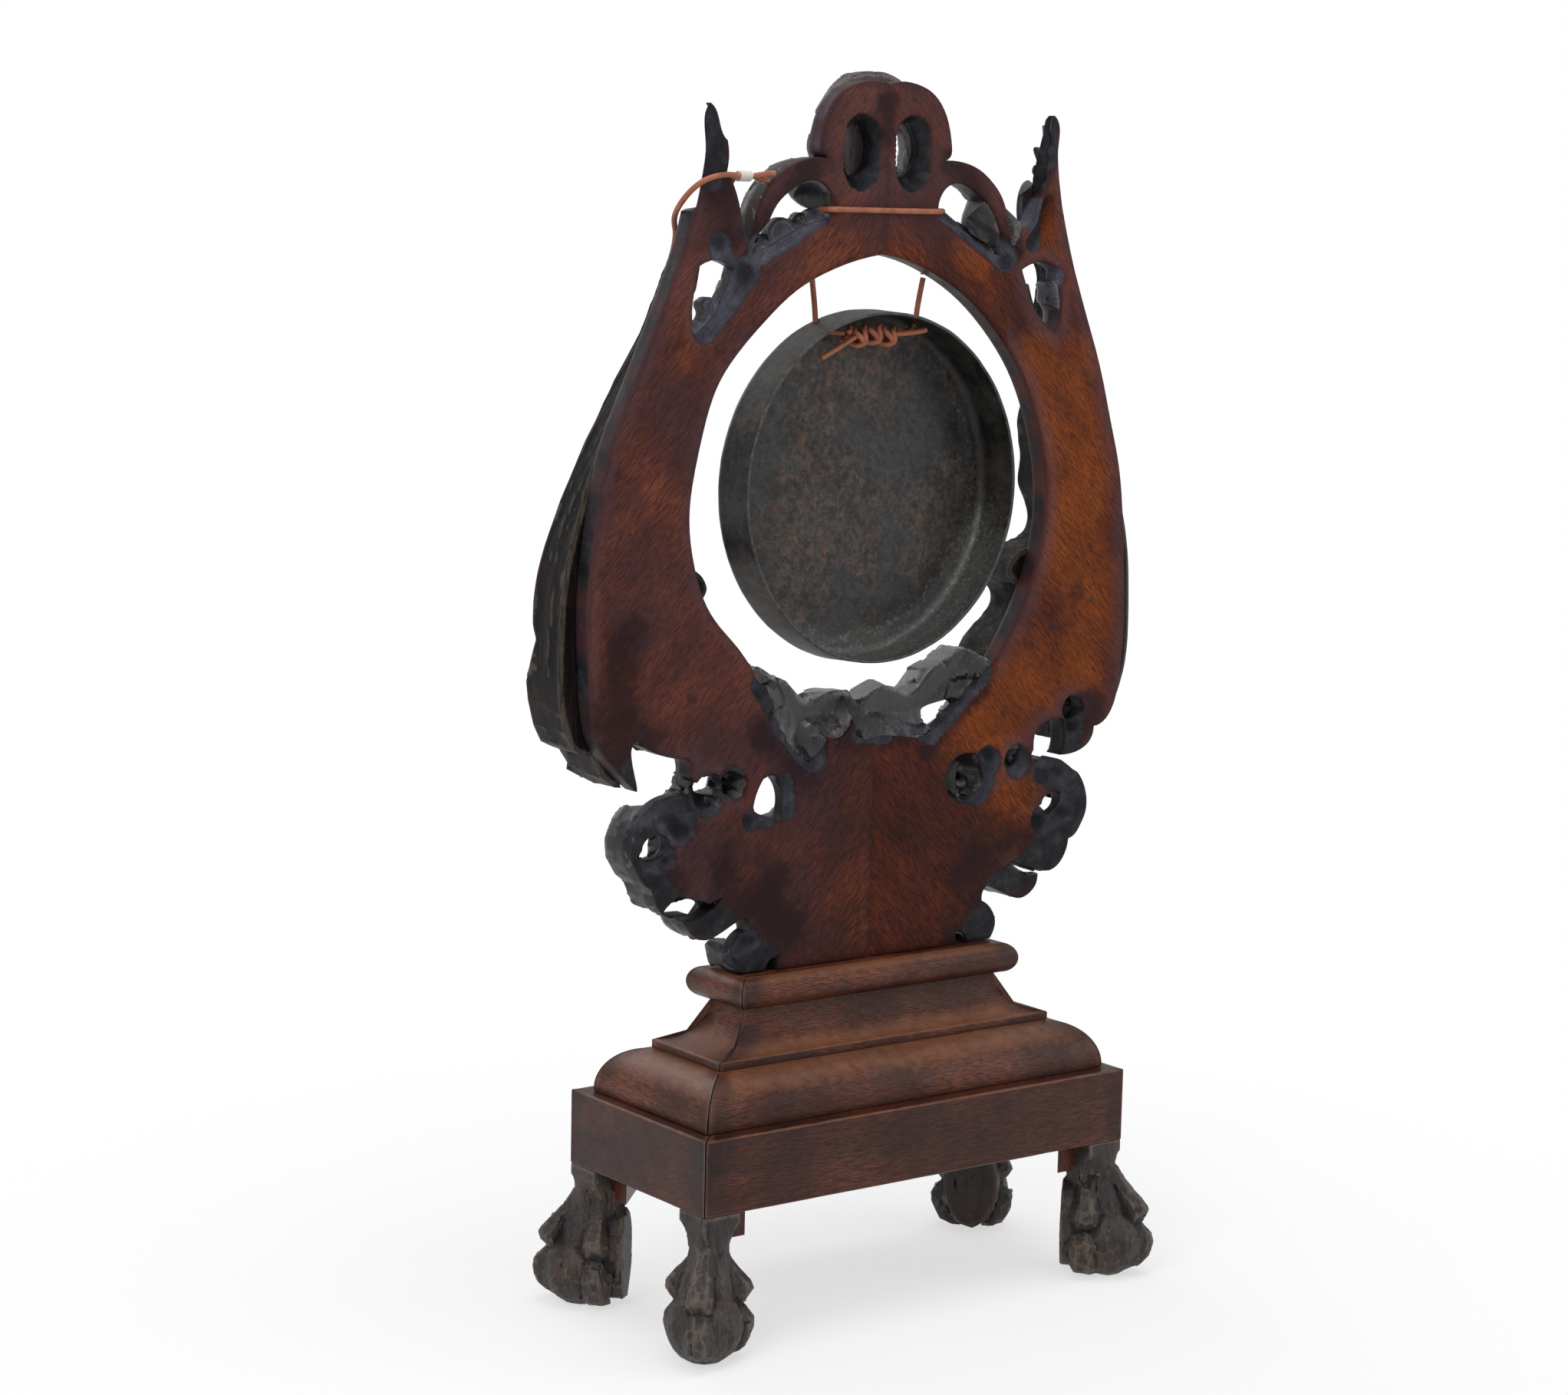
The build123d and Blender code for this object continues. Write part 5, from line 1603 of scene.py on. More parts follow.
    def _mark(self, skin: Skin) -> None:
        """Give each point its charcoal, painted slope sheen, smoke, glow, painted edge sheen and wear."""
        where = skin.points[:, [0, 2]]
        wobble = 0.10 * ripple(where, 0.010, 21)
        scoop = ease(strongest(self.scoops, where) + wobble * 0.5, 0.02, 0.20)
        slope = ease(strongest(self.slopes, where) + wobble * 0.3, 0.0, 0.75)
        black = ease(strongest(self.blacks, where) + wobble * 0.6, 0.0, 0.75)
        eye = ease(strongest(self.eyes, where), 0.02, 0.12)
        drift = 0.22 * ripple(where, 0.035, 22)
        smoke = ease(strongest(self.smokes, where) + drift + wobble, 0.0, 1.05)
        inside, side = skin.values["inside"], skin.values["side"]
        rim = 1.0 - ease(inside, 0.0, 0.006 + 0.003 * ripple(where, 0.03, 8))
        smoke = np.maximum.reduce([smoke, 0.5 * rim, scoop, slope * 0.8, black])
        char = np.maximum.reduce([scoop, slope, eye, black])
        wall = side > 0.5
        char[wall] = np.maximum(char[wall], 0.55 + 0.25 * ripple(where[wall], 0.03, 9))
        rub_and_shade(skin)
        crest = (where[:, 1] > self.crest_low) & (np.abs(where[:, 0]) < self.crest_half)
        lobe = wall & crest & (eye < 0.5)
        char = np.where(lobe, 0.42 + 0.14 * ripple(skin.points, 0.012, 23), char)
        skin.values["char"] = np.clip(char, 0, 1)
        skin.values["smoke"] = np.clip(smoke, 0, 1)
        # Painted bluish-grey sheen on the shaved slopes, part of the scoops and the crest lobes' walls.
        slope = np.maximum.reduce([slope, scoop * 0.40, 0.7 * lobe])
        skin.values["blue"] = np.clip(slope * (1.0 - eye), 0, 1)
        skin.values["low"] = 1.0 - ease(where[:, 1], 0.36, 0.52)
        skin.values["warm"] = strongest(self.glows, where)
        # Painted greyish sheen near the outer limbs' outline, over the top of the board's middle and rising
        # over the right half.
        edge = (1.0 - ease(inside, 0.001, 0.018)) * (np.abs(where[:, 0]) > 0.12)
        top = 0.75 * ease(where[:, 1], 0.78, 0.84) * (np.abs(where[:, 0]) < 0.12)
        skin.values["edge"] = np.maximum.reduce([edge, top, 0.35 * ease(where[:, 0], 0.0, 0.10)])
        worn = np.maximum(skin.values["worn"] * (1 - 0.8 * (side < 0.5)), 0.30 * (inside < 0.0012))
        skin.values["worn"] = worn * np.where(crest, 1.0, 0.7)


class Style(Enum):
    """How a plank's front is carved."""

    LEAF = "leaf"
    WAVE = "wave"
    SCROLL = "scroll"
    DOME = "dome"


@dataclass
class CarvedPlank:
    """One carved plank on the board's front.

    Its thickness falls away towards its outline as a quarter ellipse, and furrows that follow the outline
    run over it as they do over a leaf. Beside the board its back rises in a slope to the board's own back.
    """

    node: str
    style: Style
    edge: float
    round_over: float
    furrow: float
    furrow_depth: float
    cup: tuple[float, float, float]
    seed: int
    climb: float = 0.0
    spacing: float = 0.003
    corners: tuple[tuple[float, float], ...] = ()
    depth: float = 0.0
    facet: float = 0.0

    def build(self, board: LyreBoard, finishes: Finishes) -> None:
        """Cut the plank, tool it and dress it."""
        self.board = board
        if self.corners:
            outline = Outline.of_points(self.corners)
            self.top = board.back - board.thickness
            self.deepest = self.depth * MM
        else:
            outline = Outline.of_node(self.node).less(CUTS.get(self.node, ()))
            low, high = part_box(self.node)
            self.top, self.deepest = high.y, high.y - low.y
        skin = cut_plank(outline, self._back, self._front, self.spacing, (0.0012, 0.0030, 0.0055), 9)
        free = np.clip(np.abs(self.top - skin.points[:, 1]) / 0.004, 0.0, 1.0)
        tool_marks(skin, *self.cup, self.seed, free)
        if self.facet:
            end = 1.0 - ease(skin.points[:, 2], 0.470, 0.520) if "limb" in self.node else 1.0
            hew(skin, self.facet * MM, 0.85 * free * end, self.seed)
        if self.node in ("horn_leaf_right", "horn_leaf_left"):
            skin.points = board.pinch(skin.points)
        if not self.corners:
            room = np.array([0.0, 0.02, 0.0])
            skin.points = np.clip(skin.points, np.array(low) - room, np.array(high) + room)
        rub_and_shade(skin)
        if self.corners:
            skin.values["hollow"] *= 0.35
        if self.style is Style.WAVE:
            # Painted highlight on the waves' upward faces, and painted shade in their hollows and on their
            # downward faces.
            upward = skin.normals()[:, 2]
            skin.values["worn"] = np.maximum(skin.values["worn"] * 0.5, 0.9 * ease(upward, 0.40, 0.95))
            deep = np.maximum(ease(-skin.relief(45), 0.0002, 0.0016), ease(-upward, -0.45, 0.20))
            skin.values["hollow"] = np.maximum(skin.values["hollow"], deep)
        picks = {"crest": finishes.crest, "limb": finishes.limb, "arch": finishes.carved,
                 "lower": finishes.lower, "wave": finishes.wave, "leaf": finishes.shaved}
        material = next((picks[word] for word in picks if word in self.node), finishes.carved)
        replaced = [] if self.corners else [self.node]
        crease = 24.0 if self.facet else 50.0
        make_piece(self.node.replace("carving", "relief"), skin, "stand", material, replaced,
                   crease)

    def _back(self, where: np.ndarray, inside: np.ndarray) -> np.ndarray:
        """Give the back face's Y: flat under the board, sloping up to the board's back beside it."""
        level = self.top - 0.0012 * (1.0 - ease(inside, 0.0, 0.003))
        if self.climb == 0.0:
            return level
        gap = self.board.gap(where)
        share = np.clip(1.0 - np.maximum(gap, 0.0) / (self.climb * MM), 0.0, 1.0) ** 1.3
        room = np.maximum(self.board.thickness - 0.0012 - self.board.sunk(where), 0.002)
        rise = room * share
        return level + np.maximum(rise, 0.0) * ease(gap, -0.0050, -0.0026)

    def _thickness(self, where: np.ndarray) -> np.ndarray:
        """Give the full thickness: the plank's own, and on a limb the least of its three flats.

        Formula: a limb's front leans back above its middle, and its shoulder falls back outwards, one
        forward for one outward, from a line that comes forward as it goes down. At its outer edge the
        side keeps a depth that is greatest beside the middle of the gong.
        """
        full = np.full(len(where), self.deepest)
        if not self.node.startswith("limb"):
            return full
        x, z = np.abs(where[:, 0]), where[:, 1] - self.board.seat
        lean = 0.046 - np.maximum(z - 0.380, 0.0) * (0.035 / 0.176)
        down = 0.450 - z
        shoulder = (0.002 + down * 0.2) - (x - (0.218 + down * (48.0 / 210.0)))
        levels = np.array([195, 230, 247, 265, 282, 300, 318, 335, 352, 370, 400, 440, 476, 505]) * MM
        least = np.interp(z, levels, np.array([9, 16, 30, 38, 39, 38, 36, 33, 31, 27, 22, 16, 6, 4]) * MM)
        return np.maximum(np.minimum(np.minimum(full, lean), np.maximum(shoulder, least)), 0.004)

    def _front(self, where: np.ndarray, inside: np.ndarray) -> np.ndarray:
        """Give the carved face's Y: the rounded thickness, less the furrows."""
        thick = self._thickness(where)
        share = np.clip(inside / self.round_over, 0.0, 1.0)
        form = self.edge + (1.0 - self.edge) * np.sqrt(1.0 - (1.0 - share) ** 2)
        phase = 2 * math.pi * (inside / self.furrow + 0.12 * ripple(where, 0.05, self.seed))
        trough = 0.5 + 0.5 * np.cos(phase)
        if self.style is Style.WAVE:
            trough = np.abs(np.sin(phase / 2)) ** 0.7
        if self.style is Style.DOME:
            trough = trough * ease(inside, 0.002, 0.010) * 0.6
        cut = self.furrow_depth * trough * ease(inside, 0.001, 0.006)
        return self.top - np.maximum(thick * form - cut, 0.002)


LEAVES: dict[str, tuple[float, tuple[tuple[float, float], ...]]] = {
    "ring_leaf_right": (20, (
        (44, 822), (49, 828), (60, 827), (66, 821), (71, 812), (75, 813), (79, 819), (85, 821), (92, 819),
        (98, 812), (99, 806), (95, 798), (100, 800), (106, 803), (112, 801), (115, 794), (119, 780),
        (100, 784), (80, 795), (60, 806), (46, 813))),
    "hollow_leaf_right": (18, (
        (121, 788), (127, 780), (131, 775), (136, 767), (143, 758), (147, 763), (152, 763), (157, 760),
        (157, 755), (154, 751), (158, 745), (161, 747), (165, 746), (166, 739), (168, 728), (154, 732),
        (138, 748), (122, 766), (112, 782))),
    "arch_leaf_right": (12, (
        (78, 847), (71, 850), (61, 849), (48, 840), (44, 827), (60, 827), (71, 833), (77, 841))),
    "ring_leaf_left": (20, (
        (-56, 824), (-60, 828), (-66, 827), (-74, 821), (-79, 818), (-85, 811), (-92, 808), (-96, 800),
        (-80, 802), (-66, 810), (-54, 814))),
    "arch_leaf_left": (16, (
        (-98, 842), (-94, 832), (-90, 823), (-89, 812), (-98, 807), (-110, 802), (-124, 796), (-134, 800),
        (-133, 816), (-124, 832), (-112, 842), (-103, 846))),
    "hollow_leaf_inner": (10, (
        (-152, 768), (-155, 774), (-158, 764), (-161, 757), (-165, 748), (-168, 738), (-160, 730),
        (-152, 738), (-146, 752), (-145, 766))),
    "hollow_leaf_outer": (10, (
        (-165, 773), (-168, 767), (-167, 759), (-172, 755), (-175, 750), (-174, 738), (-184, 736),
        (-190, 760), (-184, 778), (-174, 777))),
    "horn_leaf_edge": (8, (
        (-164, 896), (-167, 879), (-165, 876), (-157, 877), (-156, 874), (-162, 863), (-157, 863),
        (-155, 857), (-164, 850), (-165, 843), (-160, 842), (-157, 848), (-152, 852), (-146, 849),
        (-142, 840), (-141, 829), (-143, 816), (-148, 808), (-158, 815), (-165, 835), (-169, 860),
        (-169, 885))),
}


def carved_planks() -> list[CarvedPlank]:
    """List every carved plank, both hands, and the leaves at the openings."""
    made = []
    for seed, side in ((11, "right"), (21, "left")):
        made += [
            CarvedPlank(f"limb_carving_{side}", Style.LEAF, 0.96, 0.006, 0.0105, 0.0016,
                        (0.0045, 0.075, 0.0014), seed, 0.0, 0.0028, facet=17.0),
            CarvedPlank(f"horn_leaf_{side}", Style.LEAF, 0.55, 0.006, 0.006, 0.0012,
                        (0.006, 0.010, 0.0008), seed + 1, 0.0, 0.002),
            CarvedPlank(f"arm_carving_{side}", Style.SCROLL, 0.65, 0.007, 0.007, 0.0014,
                        (0.011, 0.016, 0.0006), seed + 2, 3.0, 0.002, facet=10.0),
            CarvedPlank(f"arch_carving_{side}", Style.LEAF, 0.55, 0.008, 0.008, 0.0018,
                        (0.011, 0.016, 0.0006), seed + 3, 9.0, 0.0022, facet=10.0),
            CarvedPlank(f"lower_carving_{side}", Style.SCROLL, 0.66, 0.014, 0.013, 0.0042,
                        (0.013, 0.015, 0.0006), seed + 4, 9.0, 0.0026, facet=12.0),
        ]
    made.append(CarvedPlank("crest_carving", Style.DOME, 0.80, 0.008, 0.012, 0.0012,
                            (0.013, 0.020, 0.0010), 31, 0.0, 0.0024, facet=15.0))
    made.append(CarvedPlank("wave_carving", Style.WAVE, 0.55, 0.016, 0.022, 0.0070,
                            (0.018, 0.021, 0.0004), 41, 17.0, 0.0022, facet=20.0))
    for order, (name, (climb, corners)) in enumerate(LEAVES.items()):
        made.append(CarvedPlank(name, Style.LEAF, 0.45, 0.006, 0.007, 0.0012, (0.012, 0.018, 0.0002),
                                51 + order, climb, 0.0018, corners, 4.0 if "horn" in name else 9.0))
    return made


# ---------------------------------------------------------------- plinth
class Section(Enum):
    """The shape of a moulding from its outer low edge to its inner high edge."""

    FLAT = "flat"
    OVOLO = "ovolo"
    SCOTIA = "scotia"
    NOSING = "nosing"


@dataclass
class Tier:
    """One ring of four mitred strips round the plinth."""

    name: str
    section: Section
    inner: tuple[float, float]
    lip: float = 0.0
    arris: float = 0.0011
    dents: float = 0.00016

    def __post_init__(self) -> None:
        """Take the outer size and the levels from the strips' boxes."""
        low_x, high_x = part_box(f"{self.name}_back")
        self.outer = (high_x.x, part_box(f"{self.name}_back")[1].y)
        self.low, self.high = low_x.z, high_x.z

    def build(self, finishes: Finishes) -> None:
        """Build the four strips and dress them along their grain."""
        prefix = "plinth_top_edge" if self.name == "cap_nosing" else f"plinth_{self.name}"
        for order, side in enumerate(("back", "right", "front", "left")):
            skin = self._strip(side, order)
            material = finishes.plinth_x if side in ("back", "front") else finishes.plinth_y
            make_piece(f"{prefix}_{side}", skin, "stand", material, [f"{self.name}_{side}"],
                       50.0)

    def _profile(self) -> np.ndarray:
        """Give the closed section as (share outwards, level) pairs, densely cut and with soft arrises.

        Formula: the front runs as the section says: straight, a convex quarter ellipse centred on the low
        inner corner, a lip and then a concave quarter ellipse centred on the high outer corner, or a half
        ellipse that bulges; the back is straight. Each corner is cut back by the arris.

        Returns:
            Rows of share and level, from the low outer corner up and round.
        """
        low, high = self.low, self.high
        turn = np.linspace(0, math.pi / 2, 25)
        soft = self.arris / (self.outer[1] - self.inner[1])
        if self.section is Section.FLAT:
            face = self._upright(soft, high, 24)
        elif self.section is Section.OVOLO:
            base = low + 0.0022
            face = [(1 - soft, low), (1 - soft * 0.2, low + 0.0005), (1.0, low + 0.0012)]
            face += list(zip(np.cos(turn), base + (high - base) * np.sin(turn)))
        elif self.section is Section.SCOTIA:
            base = low + self.lip
            face = self._upright(soft, base, 5)
            face += list(zip((1 - soft) - (1 - soft) * np.sin(turn[1:]),
                             high - (high - base) * np.cos(turn[1:])))
        else:
            half = np.linspace(-math.pi / 2, math.pi / 2, 33)
            middle, reach = (low + high) / 2, (high - low) / 2
            face = list(zip(np.maximum(np.cos(half), 0.0) ** 0.9, middle + reach * np.sin(half)))
        back_top = face[-1][1]
        closing = []
        if face[-1][0] > 0.02:
            closing += [(share, back_top) for share in np.linspace(face[-1][0], 0.0, 7)[1:]]
        closing += [(0.0, z) for z in np.linspace(back_top, low, 12)[1:]]
        closing += [(share, low) for share in np.linspace(0.0, face[0][0], 7)[1:-1]]
        return np.array(face + closing)

    def _upright(self, soft: float, top: float, count: int) -> list[tuple[float, float]]:
        """Give a straight front up to a level, with an arris at each end and count points between."""
        low, arris = self.low, self.arris
        face = [(1 - soft, low), (1 - soft * 0.3, low + arris * 0.3), (1.0, low + arris)]
        face += [(1.0, z) for z in np.linspace(low + 2 * arris, top - 2 * arris, count)]
        return face + [(1.0, top - arris), (1 - soft * 0.3, top - arris * 0.3), (1 - soft, top)]

    def _strip(self, side: str, order: int) -> Skin:
        """Sweep the section along one side between its mitres.

        Formula: a point at share f of the section and place u along, from -1 to 1, lies at u times the
        half length of the rectangle at f, and at the half depth of that rectangle. The rectangle at f
        goes from the inner one to the outer one. Small dents and a V at each mitre are pressed in.

        Args:
            side: which side.
            order: its number, which seeds its dents.

        Returns:
            The strip.
        """
        section = self._profile()
        share, level = section[:, 0], section[:, 1]
        half_x = self.inner[0] + share * (self.outer[0] - self.inner[0])
        half_y = self.inner[1] + share * (self.outer[1] - self.inner[1])
        along, away = (half_x, half_y) if side in ("back", "front") else (half_y, half_x)
        ends = np.array([0.0015, 0.004]) / along.max()
        count = int(along.max() * 2 / 0.0032)
        between = np.linspace(-1 + 2 * ends[1], 1 - 2 * ends[1], count)
        places = np.concatenate([[-1.0, -1 + ends[0], -1 + ends[1]], between,
                                 [1 - ends[1], 1 - ends[0], 1.0]])
        rows = np.zeros((len(places), len(section), 3))
        rows[:, :, 0] = places[:, None] * along
        rows[:, :, 1] = away
        rows[:, :, 2] = level
        skin = closed_rows(rows)
        face = skin.points[:, 1] > self.inner[0 if along is half_y else 1] + 0.002
        turned = skin.points.copy()
        if side == "right":
            turned[:, [0, 1]] = np.stack([skin.points[:, 1], -skin.points[:, 0]], -1)
        elif side == "left":
            turned[:, [0, 1]] = np.stack([-skin.points[:, 1], skin.points[:, 0]], -1)
        elif side == "front":
            turned[:, [0, 1]] = -skin.points[:, [0, 1]]
        skin.points = turned
        gap = np.minimum(1 - np.abs(np.tile(places, (len(section), 1)).T.ravel()), 1.0) * along.max()
        gap = np.concatenate([gap, [0.0, 0.0]])
        press = 0.00035 * np.clip(1.0 - gap / 0.0010, 0.0, 1.0)
        dent = np.maximum(ripple(skin.points, 0.018, 60 + order) - 0.9, 0.0) * self.dents
        nick = np.maximum(ripple(skin.points, 0.006, 70 + order) - 1.6, 0.0) * self.dents * 1.4
        press = (press + dent + nick + 0.00006 * (1 + ripple(skin.points, 0.03, 80 + order))) * face
        skin.points = skin.points - skin.normals() * press[:, None]
        edge = ease(skin.relief(3), 0.00008, 0.00040)
        corner = 0.45 * (gap < 0.0022) * face * (self.section is Section.FLAT)
        # Painted highlight: the lighter rubbed colour on the mouldings' upward faces.
        above = 0.0 if self.section is Section.FLAT else 0.80 * ease(skin.normals()[:, 2], 0.25, 0.85)
        skin.values["worn"] = np.maximum.reduce([edge * 0.75, corner, above * face])
        skin.values["low"] = np.full(len(skin.points), 1.2 if self.section is Section.FLAT else 0.0)
        # Painted shade in the deep places.
        skin.values["hollow"] = ease(-skin.relief(30), 0.0002, 0.0012)
        end = ease(gap + 0.008 * ripple(skin.points, 0.03, 90 + order), 0.028, 0.004)
        foot = ease(skin.points[:, 2], self.low + 0.006, self.low) * 0.5
        skin.values["smoke"] = np.clip(np.maximum(end * 0.75, foot) * face, 0, 1)
        return skin.outward()


@dataclass
class Plinth:
    """The hollow plinth: four tiers of mitred strips round its plain inside parts."""

    tiers: tuple[tuple[str, Section, float, float, float], ...] = (
        ("apron", Section.FLAT, 0.182, 0.070, 0.0),
        ("ovolo", Section.OVOLO, 0.1575, 0.0438, 0.0),
        ("scotia", Section.SCOTIA, 0.119, 0.022, 0.0072),
        ("cap_nosing", Section.NOSING, 0.121, 0.024, 0.0),
    )

    def build(self, finishes: Finishes) -> None:
        """Build the strips and dress the parts inside."""
        for name, section, inner_x, inner_y, lip in self.tiers:
            Tier(name, section, (inner_x, inner_y), lip).build(finishes)
        dress_node("cap_board", finishes.plinth_x)
        for corner in ("back_right", "back_left", "front_right", "front_left"):
            dress_node(f"corner_block_{corner}", finishes.block)
        for node in ("deck_board", "plinth_core_lower", "plinth_core_upper", "foot_dowels", "seam_spline"):
            dress_node(node, finishes.hidden)
        dress_node("stand_screws", finishes.steel)


# ---------------------------------------------------------------- feet
@dataclass
class ClawFoot:
    """One claw-and-ball foot, carved from a block and standing on the plinth's diagonal."""

    name: str
    side_x: float
    side_y: float
    voxel: float = 0.0013
    reach_x: float = 194.0
    reach_y: float = 82.0
    height: float = 108.0
    pad: float = 32.0
    pad_inset: float = 6.0
    sawn: float = -36.0
    half_depth: float = 110.2
    pad_low: float = 97.0
    ball: float = 28.0
    ball_level: float = 26.5
    facet: float = 0.0095
    front_toe: tuple[tuple[float, float, float], ...] = (
        (86, 8, 7), (78, 12, 7.5), (72, 17, 8), (66, 22, 8.5), (60, 28.5, 9), (54, 33, 10), (48, 31, 10),
        (43, 25.5, 8), (38, 31, 9.5), (33, 36, 11), (27, 36.6, 11.5), (19, 35.4, 11), (13, 32, 10),
        (9, 27, 8), (7, 21, 6))
    side_toe: tuple[tuple[float, float, float], ...] = (
        (86, 9, 7), (78, 13, 7.5), (70, 18, 8), (63, 24.5, 8.5), (57, 30.5, 10), (51, 33, 10.5),
        (45, 29.5, 10), (40, 24.5, 8), (35, 29.5, 9.5), (30, 33.2, 11), (24, 33.4, 11.5), (17, 32, 11),
        (11, 29.5, 10.5), (6, 26, 9), (3.4, 20, 6))

    def __post_init__(self) -> None:
        """Find where the pad's middle stands on the diagonal, and half its width along it."""
        self.shift = -(self.pad / 2 - self.pad_inset) * math.sqrt(2)
        self.half = self.pad / math.sqrt(2)

    def build(self, finishes: Finishes) -> None:
        """Join the pad, the ankle, the ball and the toes, carve them and dress the foot."""
        parts = [self._stem(), self._heel(), self._globe()]
        parts.append(self._toe(self.front_toe, 0.0, 0.0, 0.0))
        parts.append(self._toe(self.side_toe, -16.5, math.pi / 2, 0.10))
        parts.append(self._toe(self.side_toe, -16.5, -math.pi / 2, -0.10))
        skin = self._fuse(join(parts))
        skin = self._carve(skin)
        skin.points = self._put(skin.points)
        skin.outward()
        make_piece(f"claw_foot_{self.name}", skin, "stand", finishes.foot,
                   [f"foot_{self.name}"], 24.0)

    def _put(self, points: np.ndarray) -> np.ndarray:
        """Turn local millimetres so that +X points out along the diagonal, and set them in place."""
        turn = math.atan2(self.side_y, self.side_x)
        x = points[:, 0] * math.cos(turn) - points[:, 1] * math.sin(turn)
        y = points[:, 0] * math.sin(turn) + points[:, 1] * math.cos(turn)
        placed = np.stack([x + self.side_x * self.reach_x, y + self.side_y * self.reach_y, points[:, 2]], -1)
        placed[:, 1] = np.clip(placed[:, 1], -self.half_depth, self.half_depth)
        return placed * MM

    def _stem(self) -> Skin:
        """Loft the pad into the ankle and the instep.

        Formula: rings whose points lie at the angle's direction over the p-norm of that direction, from a
        square at the top (high power) to ellipses below.

        Returns:
            The stem.
        """
        shift, half = self.shift, self.half
        rows = [(108, shift, half, half, 1.0), (100, shift, half, half, 1.0), (97.5, shift, 21.2, 20.6, 1.08),
                (92, shift, 19.4, 17.2, 1.5), (86, shift, 18.9, 15.2, 1.9), (80, shift, 19.0, 14.5, 2.0),
                (70, shift * 0.85, 20.4, 15.8, 2.0), (60, shift * 0.7, 22.2, 18.5, 2.0),
                (47.6, shift / 2, 23.6, 20.9, 2.0), (30, -3.0, 18.0, 16.0, 2.0)]
        turn = np.linspace(0, 2 * math.pi, 64, endpoint=False)
        rings = []
        for level, middle, long, wide, power in rows:
            size = (np.abs(np.cos(turn)) ** power + np.abs(np.sin(turn)) ** power) ** (-1 / power)
            rings.append(np.stack([middle + long * size * np.cos(turn), wide * size * np.sin(turn),
                                   np.full(64, float(level))], -1))
        return closed_rows(np.array(rings))

    def _heel(self) -> Skin:
        """Extrude the tall oval behind, towards the sawn back."""
        turn = np.linspace(0, 2 * math.pi, 48, endpoint=False)
        rings = [np.stack([np.full(48, x), 23.0 * size * np.cos(turn), 39.2 + 35.0 * size * np.sin(turn)], -1)
                 for x, size in ((self.sawn, 1.0), (-24.0, 1.0), (-10.0, 0.98), (0.0, 0.8))]
        return closed_rows(np.array(rings))

    def _globe(self) -> Skin:
        """Make the ball, a sphere turned round the upright axis."""
        turn = np.linspace(0.02, math.pi - 0.02, 40)
        return lathe(self.ball * np.sin(turn), self.ball_level - self.ball * np.cos(turn), 64)

    def _toe(self, stations: Sequence[tuple[float, float, float]], middle: float, turn: float,
             phase: float) -> Skin:
        """Build one toe down from the ankle over two knuckles to its claw.

        Formula: at each station the section is a half round towards the outside, flattened to facets, as
        wide as given; its middle lies inside its outermost point by its half width.

        Args:
            stations: level, reach of the outermost point and half width, from the top.
            middle: where the toes' common line stands on the diagonal.
            turn: the toe's direction from the diagonal.
            phase: where the facets start.

        Returns:
            The toe.
        """
        rows = np.array(stations)
        fine = np.linspace(0, len(rows) - 1, 60)
        rows = np.stack([np.interp(fine, np.arange(len(rows)), rows[:, i]) for i in range(3)], -1)
        angle = np.linspace(0, 2 * math.pi, 40, endpoint=False)
        facet = 1.0 / np.cos((angle + math.pi / 6 + phase) % (math.pi / 3) - math.pi / 6)
        size = 1.0 + (facet - facet.mean()) * 0.95
        out = rows[:, 1:2] - rows[:, 2:3] * (1 - size * np.cos(angle))
        wide = rows[:, 2:3] * size * np.sin(angle)
        x = middle + out * math.cos(turn) - wide * math.sin(turn)
        y = out * math.sin(turn) + wide * math.cos(turn)
        z = np.broadcast_to(rows[:, :1], x.shape) + 0.25 * (out - rows[:, 1:2])
        return closed_rows(np.stack([x, y, z], -1))

    def _fuse(self, skin: Skin) -> Skin:
        """Join overlapping shells into one by the Remesh modifier, and read the result back."""
        mesh = mesh_of("foot_parts", skin.points * MM, skin.faces)
        made = link("foot_parts", mesh)
        remesh = made.modifiers.new("join", "REMESH")
        remesh.mode = "VOXEL"
        remesh.voxel_size = self.voxel
        smooth = made.modifiers.new("soften", "SMOOTH")
        smooth.factor = 0.5
        smooth.iterations = 1
        whole = finished(made)
        points = corners_of(whole)
        faces = [np.array([tuple(p.vertices) for p in whole.polygons if len(p.vertices) == size])
                 for size in (3, 4)]
        bpy.data.objects.remove(made)
        bpy.data.meshes.remove(mesh)
        bpy.data.meshes.remove(whole)
        return Skin(points / MM, [group for group in faces if len(group)])

